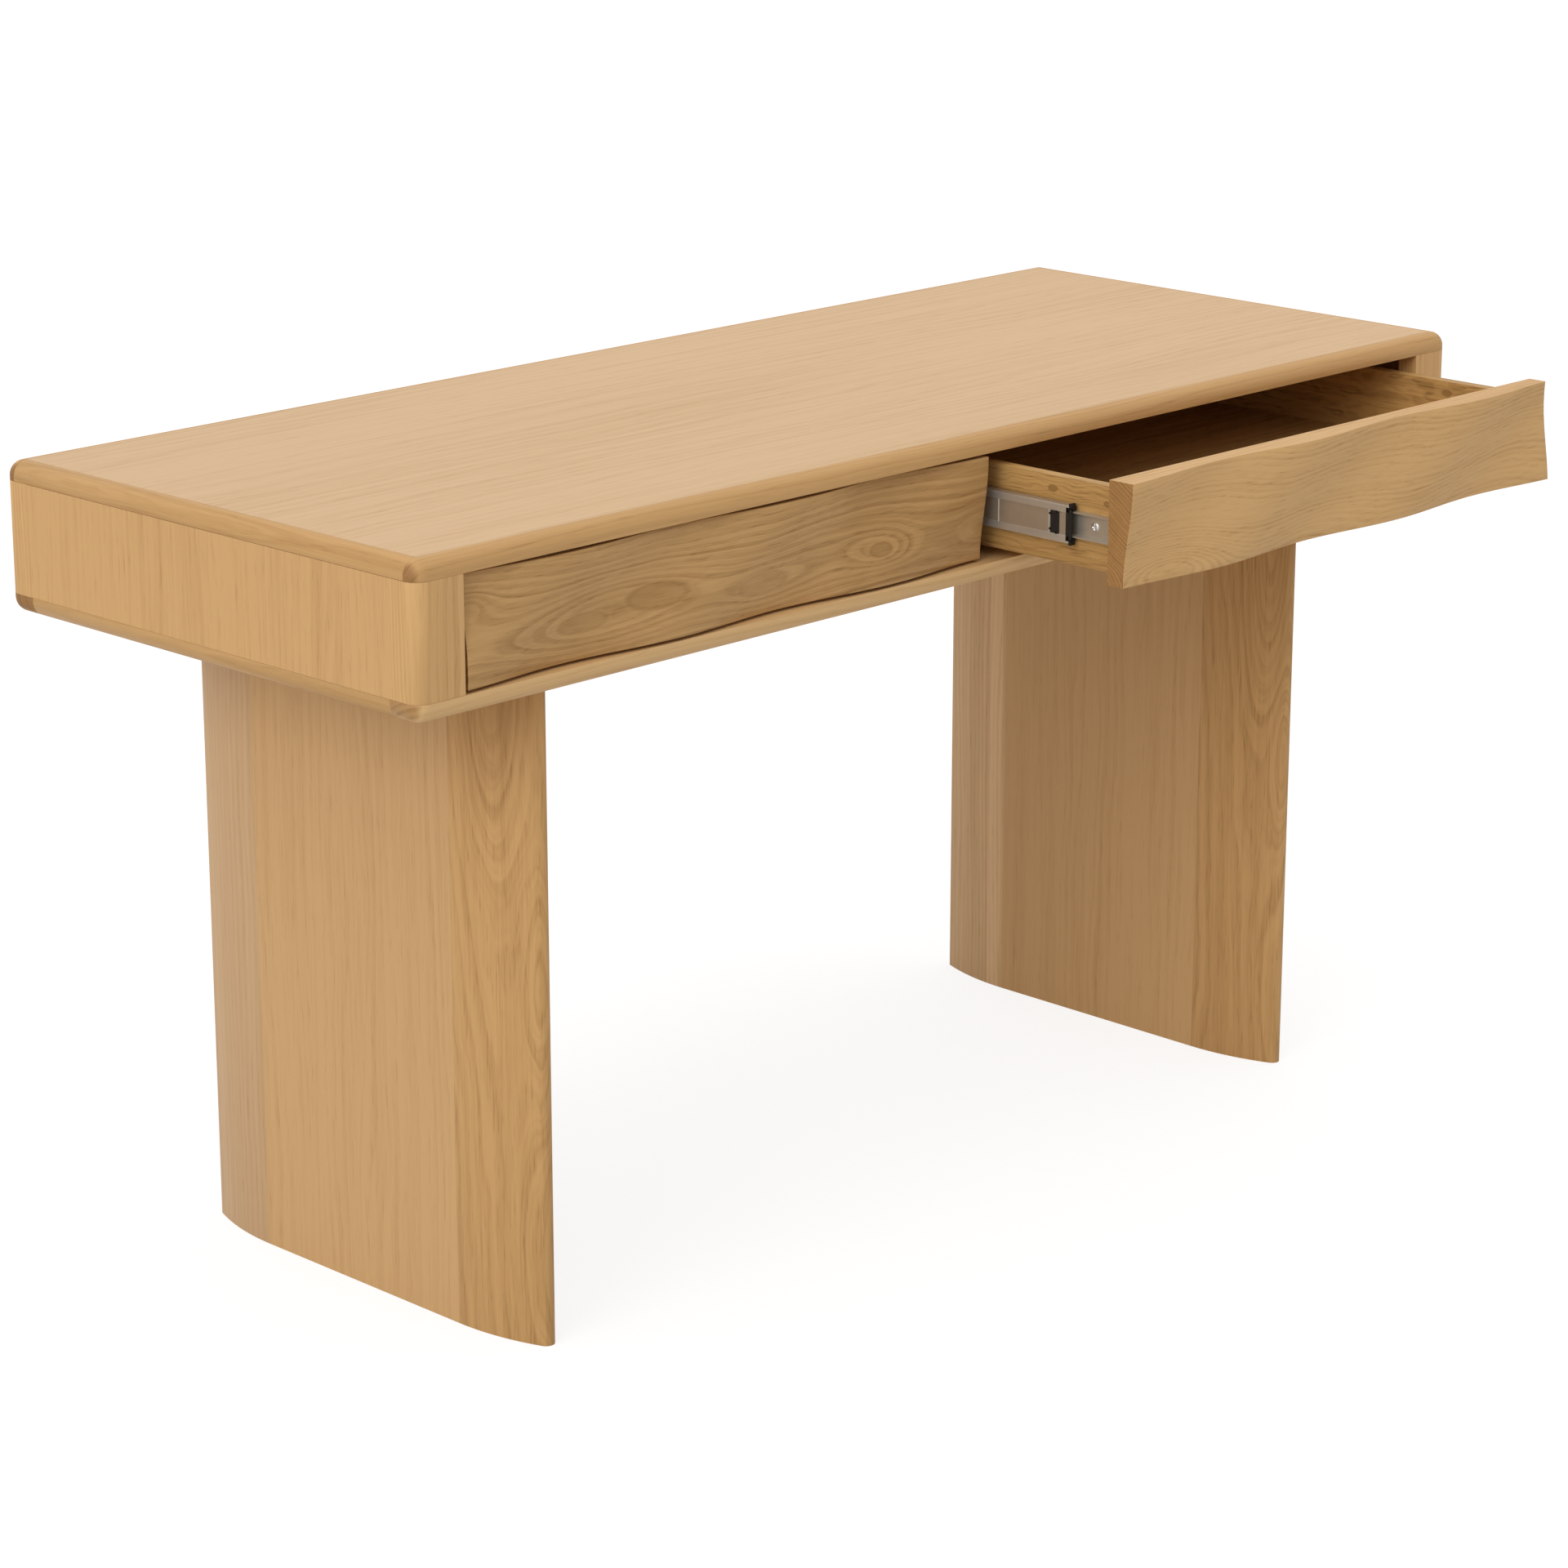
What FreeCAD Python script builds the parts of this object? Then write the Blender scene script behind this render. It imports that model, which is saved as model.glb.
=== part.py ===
"""Kneehole desk in oak: a rounded case on two slab legs, with two wave-fronted drawers.

Millimetres. +X runs to the sitter's right, +Y to the back and +Z up. The origin is on the
floor, midway between the legs. The left drawer is shut and the right one stands open.
"""
import FreeCAD
import Part
import Sketcher
import math
import os
import re

from FreeCAD import Placement, Rotation, Vector
from collections import namedtuple

# Driving dimensions, one cell each.
SIZES = {
    # Case
    "desk_width": 1400,
    "desk_depth": 560,
    "desk_height": 760,
    "case_height": 140,
    "edge_radius": 14,
    "top_thickness": 18,
    "bottom_thickness": 18,
    "end_thickness": 18,
    "back_thickness": 18,
    "top_lipping": 15,
    "bottom_lipping": 35,
    "end_lipping": 15,
    "post_width": 53,
    "post_depth": 34,
    "post_return": 22,
    "back_post": 34,
    "divider_thickness": 18,
    "divider_setback": 30,
    "packer_height": 50,
    # Legs
    "leg_inset": 182,
    "leg_thickness": 50,
    "leg_end_gap": 48,
    "leg_edge_depth": 97,
    "leg_nose_radius": 8,
    "bolt_end_gap": 30,
    "bolt_radius": 4,
    "bolt_reach": 16,
    "bolt_head_radius": 9,
    "bolt_head_height": 4,
    "bolt_socket": 5,
    "bolt_socket_depth": 2.5,
    "insert_radius": 6,
    "insert_length": 20,
    # Drawers
    "left_drawer_out": 0,
    "right_drawer_out": 170,
    "front_thickness": 28,
    "front_gap": 3,
    "centre_gap": 4,
    "wave_length": 265,
    "wave_rise": 4.75,
    "wave_start": 5,
    "wave_lean_share": 1.4,
    "box_wall": 12,
    "box_rise": 6,
    "box_drop": 12,
    "drawer_rear_gap": 84,
    "base_thickness": 6,
    "base_rise": 10,
    "groove_depth": 5,
    # Slides
    "slide_thickness": 12.7,
    "slide_gauge": 1.2,
    "slide_front_gap": 3,
    "slide_end_gap": 27,
    "runner_height": 45,
    "runner_lip": 10,
    "middle_height": 35,
    "middle_setback": 2.2,
    "middle_lip": 9,
    "bar_height": 24,
    "bar_lip": 8.1,
    "middle_share": 0.7,
    "outer_cage_share": 0.35,
    "inner_cage_share": 0.85,
    "cage_length": 120,
    "cage_gauge": 0.5,
    "outer_cage_setback": 1.45,
    "inner_cage_setback": 3.75,
    "outer_cage_lip": 7.5,
    "inner_cage_lip": 6.5,
    "outer_cage_start": 140,
    "inner_cage_start": 70,
    "ball_play": 0.15,
    "bumper_length": 12,
    "bumper_play": 0.3,
    # Screws
    "screw_inset": 28,
    "screw_length": 9,
    "screw_radius": 1.75,
    "screw_head_radius": 3.5,
    "screw_sink": 1.75,
    "recess_width": 0.9,
    "recess_span": 4,
    "recess_depth": 1,
    # Fits
    "fit_clearance": 0.05,
    "bolt_clearance": 0.25,
    "overrun": 1,
}

# Places worked out from the driving dimensions, one formula cell each.
PLACES = {
    "half_width": "desk_width / 2",
    "half_depth": "desk_depth / 2",
    "case_floor": "desk_height - case_height",
    "opening_floor": "case_floor + bottom_thickness",
    "opening_top": "desk_height - top_thickness",
    "end_inside": "half_width - end_thickness",
    "post_inside": "half_width - post_width",
    "divider_face": "divider_thickness / 2",
    "back_inside": "half_depth - back_thickness",
    "leg_place": "half_width - leg_inset",
    "half_leg": "leg_thickness / 2",
    "leg_depth": "desk_depth - 2 * leg_end_gap",
    "half_flat": "leg_depth / 2 - leg_edge_depth",
    "bolt_row": "half_flat - bolt_end_gap",
    "leg_curve_rise": "leg_edge_depth - leg_nose_radius",
    # The radius that runs on from the leg's flat and into its nose without a corner.
    "leg_curve": "(half_leg * half_leg + leg_curve_rise * leg_curve_rise - leg_nose_radius * leg_nose_radius)"
                 " / (leg_thickness - 2 * leg_nose_radius)",
    "front_back": "front_thickness - half_depth",
    "front_bottom": "opening_floor + front_gap",
    "front_top": "opening_top - front_gap",
    "front_inner": "centre_gap / 2",
    "front_outer": "post_inside - front_gap",
    "box_floor": "front_bottom + box_rise",
    "box_top": "front_top - box_drop",
    "box_inner": "divider_face + slide_thickness",
    "box_outer": "post_inside - slide_thickness",
    "box_end": "back_inside - drawer_rear_gap",
    "slide_level": "(box_floor + box_top) / 2",
    "slide_front": "front_back + slide_front_gap",
    "slide_length": "box_end - slide_end_gap - slide_front",
    "outer_race": "(runner_height / 2 - slide_gauge + middle_height / 2) / 2",
    "inner_race": "(middle_height / 2 - slide_gauge + bar_height / 2) / 2",
    "outer_ball": "(runner_height - middle_height) / 4 - slide_gauge / 2 - ball_play",
    "inner_ball": "(middle_height - bar_height) / 4 - slide_gauge / 2 - ball_play",
}

BALLS_PER_RACE = 4
BOLTS_PER_LEG = 4
SCREWS_PER_MEMBER = 3
WAVE_POINTS_PER_LENGTH = 16
HEX_CORNERS = 6
FULL_TURN = 360

# Each side of the desk as its direction along X.
DIRECTIONS = {"left": -1, "right": 1}

# The four slides: the case's face that each stands on, and which way it grows from there along X.
Slide = namedtuple("Slide", "drawer side face direction")
SLIDES = [
    Slide("left", "left", "-post_inside", 1),
    Slide("left", "right", "-divider_face", -1),
    Slide("right", "left", "divider_face", 1),
    Slide("right", "right", "post_inside", -1),
]

doc = FreeCAD.newDocument("kneehole_desk")
nodes = []


def fill_sheet():
    """Put every size and every worked-out place into the sheet, each under its own alias."""
    sheet = doc.addObject("Spreadsheet::Sheet", "sizes")
    rows = [(alias, str(number)) for alias, number in SIZES.items()]
    rows += [(alias, "=" + text) for alias, text in PLACES.items()]
    for row, (alias, content) in enumerate(rows, start=1):
        sheet.set(f"A{row}", alias)
        sheet.set(f"B{row}", content)
        sheet.setAlias(f"B{row}", alias)
    doc.recompute()
    return sheet


sizes = fill_sheet()


def value(alias):
    """One number of the sheet."""
    return float(sizes.get(alias))


def formula(text):
    """A sum of sheet words, with each word pointed at the sheet."""
    return re.sub(r"[a-z]\w*", lambda word: "sizes." + word.group(), text)


def mirrored(span):
    """The same stretch on the other side of the centre plane."""
    low, high = span
    return f"-({high})", f"-({low})"


def on_side(side, span):
    """A stretch along X that is written for the right-hand side, on either side."""
    return span if side == "right" else mirrored(span)


def centred(half):
    """A stretch that reaches as far to each side of the centre."""
    return f"-({half})", half


def moved(span, shift):
    """A stretch moved along its axis."""
    return tuple(f"({end}) - ({shift})" for end in span)


def keep(piece, label):
    """Name a finished piece and put it on the list of nodes."""
    piece.Label = label
    nodes.append(piece)
    return piece


def block(name, x_span, y_span, z_span):
    """A block between pairs of formulas."""
    solid = doc.addObject("Part::Box", name)
    spans = zip(("Length", "Width", "Height"), "xyz", (x_span, y_span, z_span))
    for side, axis, (low, high) in spans:
        solid.setExpression(side, formula(f"({high}) - ({low})"))
        solid.setExpression(f".Placement.Base.{axis}", formula(low))
    return solid


def cut(name, base, tool):
    """One solid with another taken away."""
    piece = doc.addObject("Part::Cut", name)
    piece.Base = base
    piece.Tool = tool
    return piece


def fuse(name, base, tool):
    """Two touching solids as one, without the seam."""
    piece = doc.addObject("Part::Fuse", name)
    piece.Base = base
    piece.Tool = tool
    piece.Refine = True
    return piece


def group(name, shapes):
    """Several separate solids under one name."""
    piece = doc.addObject("Part::Feature", name)
    piece.Shape = Part.makeCompound(shapes)
    return piece


def placed(shape, place, rotation=Rotation()):
    """A copy of a shape, turned about its own origin and then moved."""
    copy = shape.copy()
    copy.Placement = Placement(place, rotation)
    return copy


def sketch_of(body, role, corners):
    """A closed outline on one of a body's planes, each corner bound to the sheet."""
    sketch = body.newObject("Sketcher::SketchObject", body.Name + "_outline")
    plane = next(item for item in body.Origin.OriginFeatures if item.Role == role)
    sketch.AttachmentSupport = (plane, [""])
    sketch.MapMode = "FlatFace"
    points = [Vector(*(sizes.evalExpression(formula(text)) for text in corner), 0) for corner in corners]
    count = len(points)
    for index in range(count):
        sketch.addGeometry(Part.LineSegment(points[index], points[(index + 1) % count]))
    for index in range(count):
        sketch.addConstraint(Sketcher.Constraint("Coincident", index, 2, (index + 1) % count, 1))
    for index, (point, corner) in enumerate(zip(points, corners)):
        for kind, number, text in zip(("DistanceX", "DistanceY"), point, corner):
            place = sketch.addConstraint(Sketcher.Constraint(kind, -1, 1, index, 1, number))
            sketch.setExpression(f"Constraints[{place}]", formula(text))
    return sketch


def padded(name, role, corners, length):
    """A body with one outline padded to a length."""
    body = doc.addObject("PartDesign::Body", name)
    pad = body.newObject("PartDesign::Pad", name + "_pad")
    pad.Profile = sketch_of(body, role, corners)
    pad.setExpression("Length", formula(length))
    return body, pad


def turned(name, corners):
    """A body with one outline, radius by height, turned about the Z axis."""
    body = doc.addObject("PartDesign::Body", name)
    outline = sketch_of(body, "XZ_Plane", corners)
    turn = body.newObject("PartDesign::Revolution", name + "_turn")
    turn.Profile = outline
    turn.ReferenceAxis = (outline, ["V_Axis"])
    turn.Angle = FULL_TURN
    return body


def pocketed(body, corners, depth):
    """Sink an outline that lies in the body's XY plane into its top."""
    doc.recompute()
    before = body.Shape.Volume
    pocket = body.newObject("PartDesign::Pocket", body.Name + "_recess")
    pocket.Profile = sketch_of(body, "XY_Plane", corners)
    pocket.setExpression("Length", formula(depth))
    doc.recompute()
    if not body.Shape.Volume < before:
        raise RuntimeError(f"{body.Name}: the recess cuts nothing")


def make_envelope():
    """The whole case as one rounded block, which gives its pieces their outer faces."""
    corners = [("half_width", "half_depth"), ("-half_width", "half_depth"),
               ("-half_width", "-half_depth"), ("half_width", "-half_depth")]
    body, pad = padded("case_envelope", "XY_Plane", corners, "case_height")
    body.setExpression(".Placement.Base.z", formula("case_floor"))
    doc.recompute()
    rounding = body.newObject("PartDesign::Fillet", "case_rounding")
    rounding.Base = (pad, [f"Edge{index + 1}" for index in range(len(pad.Shape.Edges))])
    rounding.setExpression("Radius", formula("edge_radius"))
    doc.recompute()
    return body


envelope = make_envelope()


def rounded(label, blank):
    """A piece of the case: its blank, with the case's rounded outside."""
    piece = doc.addObject("Part::Common", label)
    piece.Base = envelope
    piece.Tool = blank
    return keep(piece, label)


def make_slab(name, z_span, lipping, side_lipping, holes=None):
    """A horizontal slab of the case: its panel and the four solid lippings round it."""
    field_depth = f"half_depth - {lipping}"
    field_width = f"half_width - {side_lipping}"
    field = block(f"{name}_field", centred(field_width), centred(field_depth), z_span)
    rounded(f"{name}_panel", cut(f"{name}_drilled", field, holes) if holes else field)
    rear = (field_depth, "half_depth")
    for end, y_span in (("front", mirrored(rear)), ("back", rear)):
        rounded(f"{name}_{end}_lipping",
                block(f"{name}_{end}_strip", centred("half_width"), y_span, z_span))
    for side in DIRECTIONS:
        x_span = on_side(side, (field_width, "half_width"))
        rounded(f"{name}_{side}_lipping",
                block(f"{name}_{side}_strip", x_span, centred(field_depth), z_span))


def make_case_walls(divider_holes, packer_holes):
    """The posts, ends, back, divider and slide packers between the two slabs."""
    opening = ("opening_floor", "opening_top")
    packer_level = ("slide_level - packer_height / 2", "slide_level + packer_height / 2")
    for side in DIRECTIONS:
        face = block(f"{side}_post_face", on_side(side, ("post_inside", "half_width")),
                     ("-half_depth", "post_return - half_depth"), opening)
        cheek = block(f"{side}_post_cheek", on_side(side, ("end_inside", "half_width")),
                      ("-half_depth", "post_depth - half_depth"), opening)
        rounded(f"{side}_front_post", fuse(f"{side}_post_blank", face, cheek))
        rounded(f"{side}_back_post",
                block(f"{side}_back_blank", on_side(side, ("half_width - back_post", "half_width")),
                      ("half_depth - back_post", "half_depth"), opening))
        rounded(f"{side}_end_panel",
                block(f"{side}_end_blank", on_side(side, ("end_inside", "half_width")),
                      ("post_depth - half_depth", "half_depth - back_post"), opening))
        packer = block(f"{side}_packer_blank", on_side(side, ("post_inside", "end_inside")),
                       ("slide_front", "slide_front + slide_length"), packer_level)
        keep(cut(f"{side}_packer_drilled", packer, packer_holes[side]), f"{side}_slide_packer")
    rounded("back_panel", block("back_blank", centred("half_width - back_post"),
                                ("back_inside", "half_depth"), opening))
    divider = block("divider_blank", centred("divider_face"),
                    ("divider_setback - half_depth", "back_inside"), opening)
    keep(cut("divider_drilled", divider, divider_holes), "centre_divider")


def bolt_places(level):
    """The bolts' centres at a level, in a row along each leg's depth."""
    for side, direction in DIRECTIONS.items():
        for index in range(BOLTS_PER_LEG):
            along = (2 * index / (BOLTS_PER_LEG - 1) - 1) * value("bolt_row")
            yield side, Vector(direction * value("leg_place"), along, level)


def make_bolts():
    """The leg bolts, with heads that sit on the bottom panel and hexagon sockets."""
    tip = "-bolt_head_height - bottom_thickness - bolt_reach"
    bolt = turned("leg_bolt", [("0", "0"), ("bolt_head_radius", "0"),
                               ("bolt_head_radius", "-bolt_head_height"),
                               ("bolt_radius", "-bolt_head_height"), ("bolt_radius", tip), ("0", tip)])
    turns = [2 * math.pi * corner / HEX_CORNERS for corner in range(HEX_CORNERS)]
    socket_shares = [(math.cos(turn) / math.sqrt(3), math.sin(turn) / math.sqrt(3)) for turn in turns]
    pocketed(bolt, [(f"{across:.9f} * bolt_socket", f"{along:.9f} * bolt_socket")
                    for across, along in socket_shares], "bolt_socket_depth")
    level = value("opening_floor") + value("bolt_head_height")
    keep(group("bolts", [placed(bolt.Shape, place) for side, place in bolt_places(level)]), "leg_bolts")


def make_inserts():
    """The threaded inserts sunk into the top of each leg's core."""
    bore = "bolt_radius + fit_clearance"
    insert = turned("leg_insert", [(bore, "0"), ("insert_radius", "0"),
                                   ("insert_radius", "-insert_length"), (bore, "-insert_length")])
    doc.recompute()
    places = bolt_places(value("case_floor"))
    keep(group("inserts", [placed(insert.Shape, place) for side, place in places]), "leg_inserts")


def drilled(name, radius, depth, level, side=None):
    """Round holes that go down from a level at the bolts' places, for one leg or for both."""
    down = Vector(0, 0, -1)
    return group(name, [Part.makeCylinder(radius, depth, place, down)
                        for leg, place in bolt_places(level) if side in (None, leg)])


def make_legs():
    """The two lens-section legs, each a flat core between two curved edges."""
    rise = ("0", "case_floor")
    for side, direction in DIRECTIONS.items():
        centre = f"{direction} * leg_place"
        across = (f"{centre} - half_leg", f"{centre} + half_leg")
        core = block(f"{side}_core_blank", across, centred("half_flat"), rise)
        holes = drilled(f"{side}_insert_holes", value("insert_radius") + value("fit_clearance"),
                        value("insert_length"), value("case_floor"), side)
        keep(cut(f"{side}_core_drilled", core, holes), f"{side}_leg_core")
        rear = ("half_flat", "leg_depth")
        for end, y_span, joint in (("front", mirrored(rear), "-half_flat"), ("back", rear, "half_flat")):
            name = f"{side}_leg_{end}"
            flanks = [flank(f"{name}_flank_{turn}", f"{centre} + {turn} * (half_leg - leg_curve)", joint)
                      for turn in DIRECTIONS.values()]
            lens = doc.addObject("Part::MultiCommon", f"{name}_lens")
            lens.Shapes = flanks + [block(f"{name}_blank", across, y_span, rise)]
            keep(nosed(name, lens), f"{name}_edge")


def flank(name, x_place, y_place):
    """The upright round bar whose skin is one curved side of a leg."""
    bar = doc.addObject("Part::Cylinder", name)
    bar.setExpression("Radius", formula("leg_curve"))
    bar.setExpression("Height", formula("case_floor"))
    bar.setExpression(".Placement.Base.x", formula(x_place))
    bar.setExpression(".Placement.Base.y", formula(y_place))
    return bar


def nosed(name, lens):
    """A leg's edge with its sharp upright arris rounded to the nose."""
    doc.recompute()
    edges = enumerate(lens.Shape.Edges, start=1)
    uprights = [(abs(edge.CenterOfMass.y), index) for index, edge in edges if edge.BoundBox.ZLength > 0]
    nose = doc.addObject("Part::Fillet", f"{name}_nose")
    nose.Base = lens
    nose.Edges = [(max(uprights)[1], value("leg_nose_radius"), value("leg_nose_radius"))]
    return nose


def make_screw(name, clearance):
    """One flush screw, head up at the origin, or with a clearance the hole that it takes."""
    head, shank = f"screw_head_radius + {clearance}", f"screw_radius + {clearance}"
    cone, tip = f"-slide_gauge - {clearance}", f"-screw_length - {clearance}"
    screw = turned(name, [("0", "0"), (head, "0"), (head, cone), (shank, f"{cone} - screw_sink"),
                          (shank, tip), ("0", tip)])
    doc.recompute()
    return screw


def recess_corners():
    """A cross, as twelve corners, from its span and the width of its arms."""
    arm, span = "recess_width / 2", "recess_span / 2"
    quarter = [(span, arm), (arm, arm), (arm, span)]
    corners = []
    for turn in range(4):
        for along, across in quarter:
            corners.append((along, across))
        quarter = [(f"-({across})", along) for along, across in quarter]
    return corners


def slide_x(slide, depth):
    """A formula for the place along X at a depth from the face that carries a slide."""
    return f"{slide.face} {'+' if slide.direction > 0 else '-'} ({depth})"


def screw_places(slide, depth, shift):
    """Where a member's screws have their heads: three along its length."""
    across = float(sizes.evalExpression(formula(slide_x(slide, depth))))
    ends = value("slide_front") + value("screw_inset"), value("box_end") - value("slide_end_gap")
    last = ends[1] - value("screw_inset")
    for index in range(SCREWS_PER_MEMBER):
        along = ends[0] + (last - ends[0]) * index / (SCREWS_PER_MEMBER - 1)
        yield Vector(across, along - shift, value("slide_level"))


def member_screws(shape, slide, member):
    """Copies of a screw, or of its hole, for a slide's runner or its drawer bar."""
    if member == "runner":
        depth, aim, shift = "slide_gauge", -slide.direction, 0
    else:
        depth, aim = "slide_thickness - slide_gauge", slide.direction
        shift = value(f"{slide.drawer}_drawer_out")
    turn = Rotation(Vector(0, 0, -1), Vector(aim, 0, 0))
    return [placed(shape, place, turn) for place in screw_places(slide, depth, shift)]


def channel(name, slide, web, lip, gauge, height, y_span):
    """A sheet-metal channel along Y: a flat web and two lips, all of one gauge."""
    step, rise = f"({gauge})", f"({height}) / 2"
    inner = f"{web} + {step}" if lip.startswith("+") else f"{web} - {step}"
    back, front, tip = slide_x(slide, web), slide_x(slide, inner), slide_x(slide, f"{web} {lip}")
    level, drop = "slide_level", f"{rise} - {step}"
    corners = [(back, f"{level} - {rise}"), (tip, f"{level} - {rise}"), (tip, f"{level} - ({drop})"),
               (front, f"{level} - ({drop})"), (front, f"{level} + ({drop})"), (tip, f"{level} + ({drop})"),
               (tip, f"{level} + {rise}"), (back, f"{level} + {rise}")]
    low, high = y_span
    body, pad = padded(name, "XZ_Plane", corners, f"({high}) - ({low})")
    pad.Reversed = True
    body.setExpression(".Placement.Base.y", formula(low))
    return body


def make_runner(slide, screw_hole):
    """The member that is screwed to the case."""
    name = f"{slide.drawer}_drawer_{slide.side}_runner"
    rail = channel(f"{name}_rail", slide, "0", "+ runner_lip", "slide_gauge", "runner_height",
                   ("slide_front", "slide_front + slide_length"))
    holes = group(f"{name}_holes", member_screws(screw_hole.Shape, slide, "runner"))
    keep(cut(f"{name}_drilled", rail, holes), name)


def make_middle(slide):
    """The member between the runner and the drawer bar, and its two end bumpers."""
    name = f"{slide.drawer}_drawer_{slide.side}_middle"
    shift = f"middle_share * {slide.drawer}_drawer_out"
    front = f"slide_front - {shift}"
    keep(channel(f"{name}_rail", slide, "middle_setback", "+ middle_lip", "slide_gauge", "middle_height",
                 (front, f"{front} + slide_length")), name)
    ends = [slide_x(slide, "middle_setback + slide_gauge"), slide_x(slide, "middle_setback + middle_lip")]
    x_span = tuple(ends if slide.direction > 0 else reversed(ends))
    low, high = "bar_height / 2 + bumper_play", "middle_height / 2 - slide_gauge"
    levels = {"upper": (f"slide_level + {low}", f"slide_level + {high}"),
              "lower": (f"slide_level - ({high})", f"slide_level - ({low})")}
    return [block(f"{name}_{level}_bumper", x_span, (front, f"{front} + bumper_length"), z_span)
            for level, z_span in levels.items()]


def make_bar(slide, screw_hole):
    """The member that is screwed to the drawer's side."""
    name = f"{slide.drawer}_drawer_{slide.side}_bar"
    shift = f"{slide.drawer}_drawer_out"
    rail = channel(f"{name}_rail", slide, "slide_thickness", "- bar_lip", "slide_gauge", "bar_height",
                   moved(("slide_front", "slide_front + slide_length"), shift))
    holes = group(f"{name}_holes", member_screws(screw_hole.Shape, slide, "bar"))
    keep(cut(f"{name}_drilled", rail, holes), name)


def make_cages(drawer, race):
    """The two ball cages of one drawer that run in the outer or in the inner races."""
    shapes = []
    for slide in (slide for slide in SLIDES if slide.drawer == drawer):
        front = f"slide_front + {race}_cage_start - {race}_cage_share * {drawer}_drawer_out"
        cage = channel(f"{drawer}_{slide.side}_{race}_cage", slide, f"{race}_cage_setback",
                       f"+ {race}_cage_lip", "cage_gauge", f"2 * {race}_race + cage_gauge",
                       (front, f"{front} + cage_length"))
        doc.recompute()
        radius, reach = value(f"{race}_ball"), value(f"{race}_race")
        middle = float(sizes.evalExpression(formula(
            slide_x(slide, f"{race}_cage_setback + cage_gauge / 2 + {race}_cage_lip / 2"))))
        start = float(sizes.evalExpression(formula(front)))
        pitch = value("cage_length") / BALLS_PER_RACE
        balls, holes = [], []
        for index in range(BALLS_PER_RACE):
            for level in (value("slide_level") - reach, value("slide_level") + reach):
                centre = Vector(middle, start + (index + 1 / 2) * pitch, level)
                balls.append(Part.makeSphere(radius, centre))
                holes.append(Part.makeCylinder(radius + value("fit_clearance"), 2 * radius,
                                               centre - Vector(0, 0, radius)))
        shapes += [cage.Shape.cut(holes)] + balls
    keep(group(f"{drawer}_{race}_cages", shapes), f"{drawer}_{race}_ball_cages")


def wave_depth(across, level):
    """A drawer front's thickness at a point: leaning crests that are flush with the case."""
    along = across - value("wave_start") + value("wave_lean_share") * (value("front_top") - level)
    swing = value("wave_rise") * (math.cos(2 * math.pi * along / value("wave_length")) - 1)
    return value("front_thickness") + swing


def wave_slab(side, shift):
    """A slab that is flat at the back and carved with the wave in front, larger than its drawer front."""
    ends = sorted(DIRECTIONS[side] * value(end) for end in ("front_inner", "front_outer"))
    step = value("wave_length") / WAVE_POINTS_PER_LENGTH
    columns = math.ceil((ends[1] - ends[0]) / step) + 2
    rows = math.ceil((value("front_top") - value("front_bottom")) / step) + 2
    grid = []
    for column in range(columns + 1):
        across = ends[0] + (column - 1) * step
        levels = [value("front_bottom") + (row - 1) * step for row in range(rows + 1)]
        grid.append([Vector(across, value("front_back") - shift - wave_depth(across, level), level)
                     for level in levels])
    surface = Part.BSplineSurface()
    surface.interpolate(grid)
    slab = doc.addObject("Part::Feature", f"{side}_wave_slab")
    slab.Shape = surface.toShape().extrude(Vector(0, value("front_thickness") + value("overrun"), 0))
    return slab


def make_drawer(drawer, screw_hole):
    """One drawer: its carved front, grooved sides and back, and its base."""
    shift = f"{drawer}_drawer_out"
    walls = ("box_floor", "box_top")
    inside = ("box_inner + box_wall", "box_outer - box_wall")
    base = keep(block(f"{drawer}_base",
                      on_side(drawer, (f"{inside[0]} - groove_depth", f"{inside[1]} + groove_depth")),
                      moved(("front_back - groove_depth", "box_end - box_wall + groove_depth"), shift),
                      ("box_floor + base_rise", "box_floor + base_rise + base_thickness")),
                f"{drawer}_drawer_bottom")
    back = block(f"{drawer}_back_blank", on_side(drawer, inside),
                 moved(("box_end - box_wall", "box_end"), shift), walls)
    keep(cut(f"{drawer}_back_grooved", back, base), f"{drawer}_drawer_back")
    reach = moved(("front_back", "box_end"), shift)
    spans = {"inner": ("box_inner", inside[0]), "outer": (inside[1], "box_outer")}
    for slide in (slide for slide in SLIDES if slide.drawer == drawer):
        span = spans["outer" if slide.side == drawer else "inner"]
        name = f"{drawer}_drawer_{slide.side}_side"
        grooved = cut(f"{name}_grooved", block(f"{name}_blank", on_side(drawer, span), reach, walls), base)
        holes = group(f"{name}_holes", member_screws(screw_hole.Shape, slide, "bar"))
        keep(cut(f"{name}_drilled", grooved, holes), name)
    blank = block(f"{drawer}_front_blank", on_side(drawer, ("front_inner", "front_outer")),
                  moved(("front_back - front_thickness - overrun", "front_back"), shift),
                  ("front_bottom", "front_top"))
    carved = doc.addObject("Part::Common", f"{drawer}_front_carved")
    carved.Base = wave_slab(drawer, value(shift))
    carved.Tool = blank
    keep(cut(f"{drawer}_front_grooved", carved, base), f"{drawer}_drawer_front")


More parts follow.
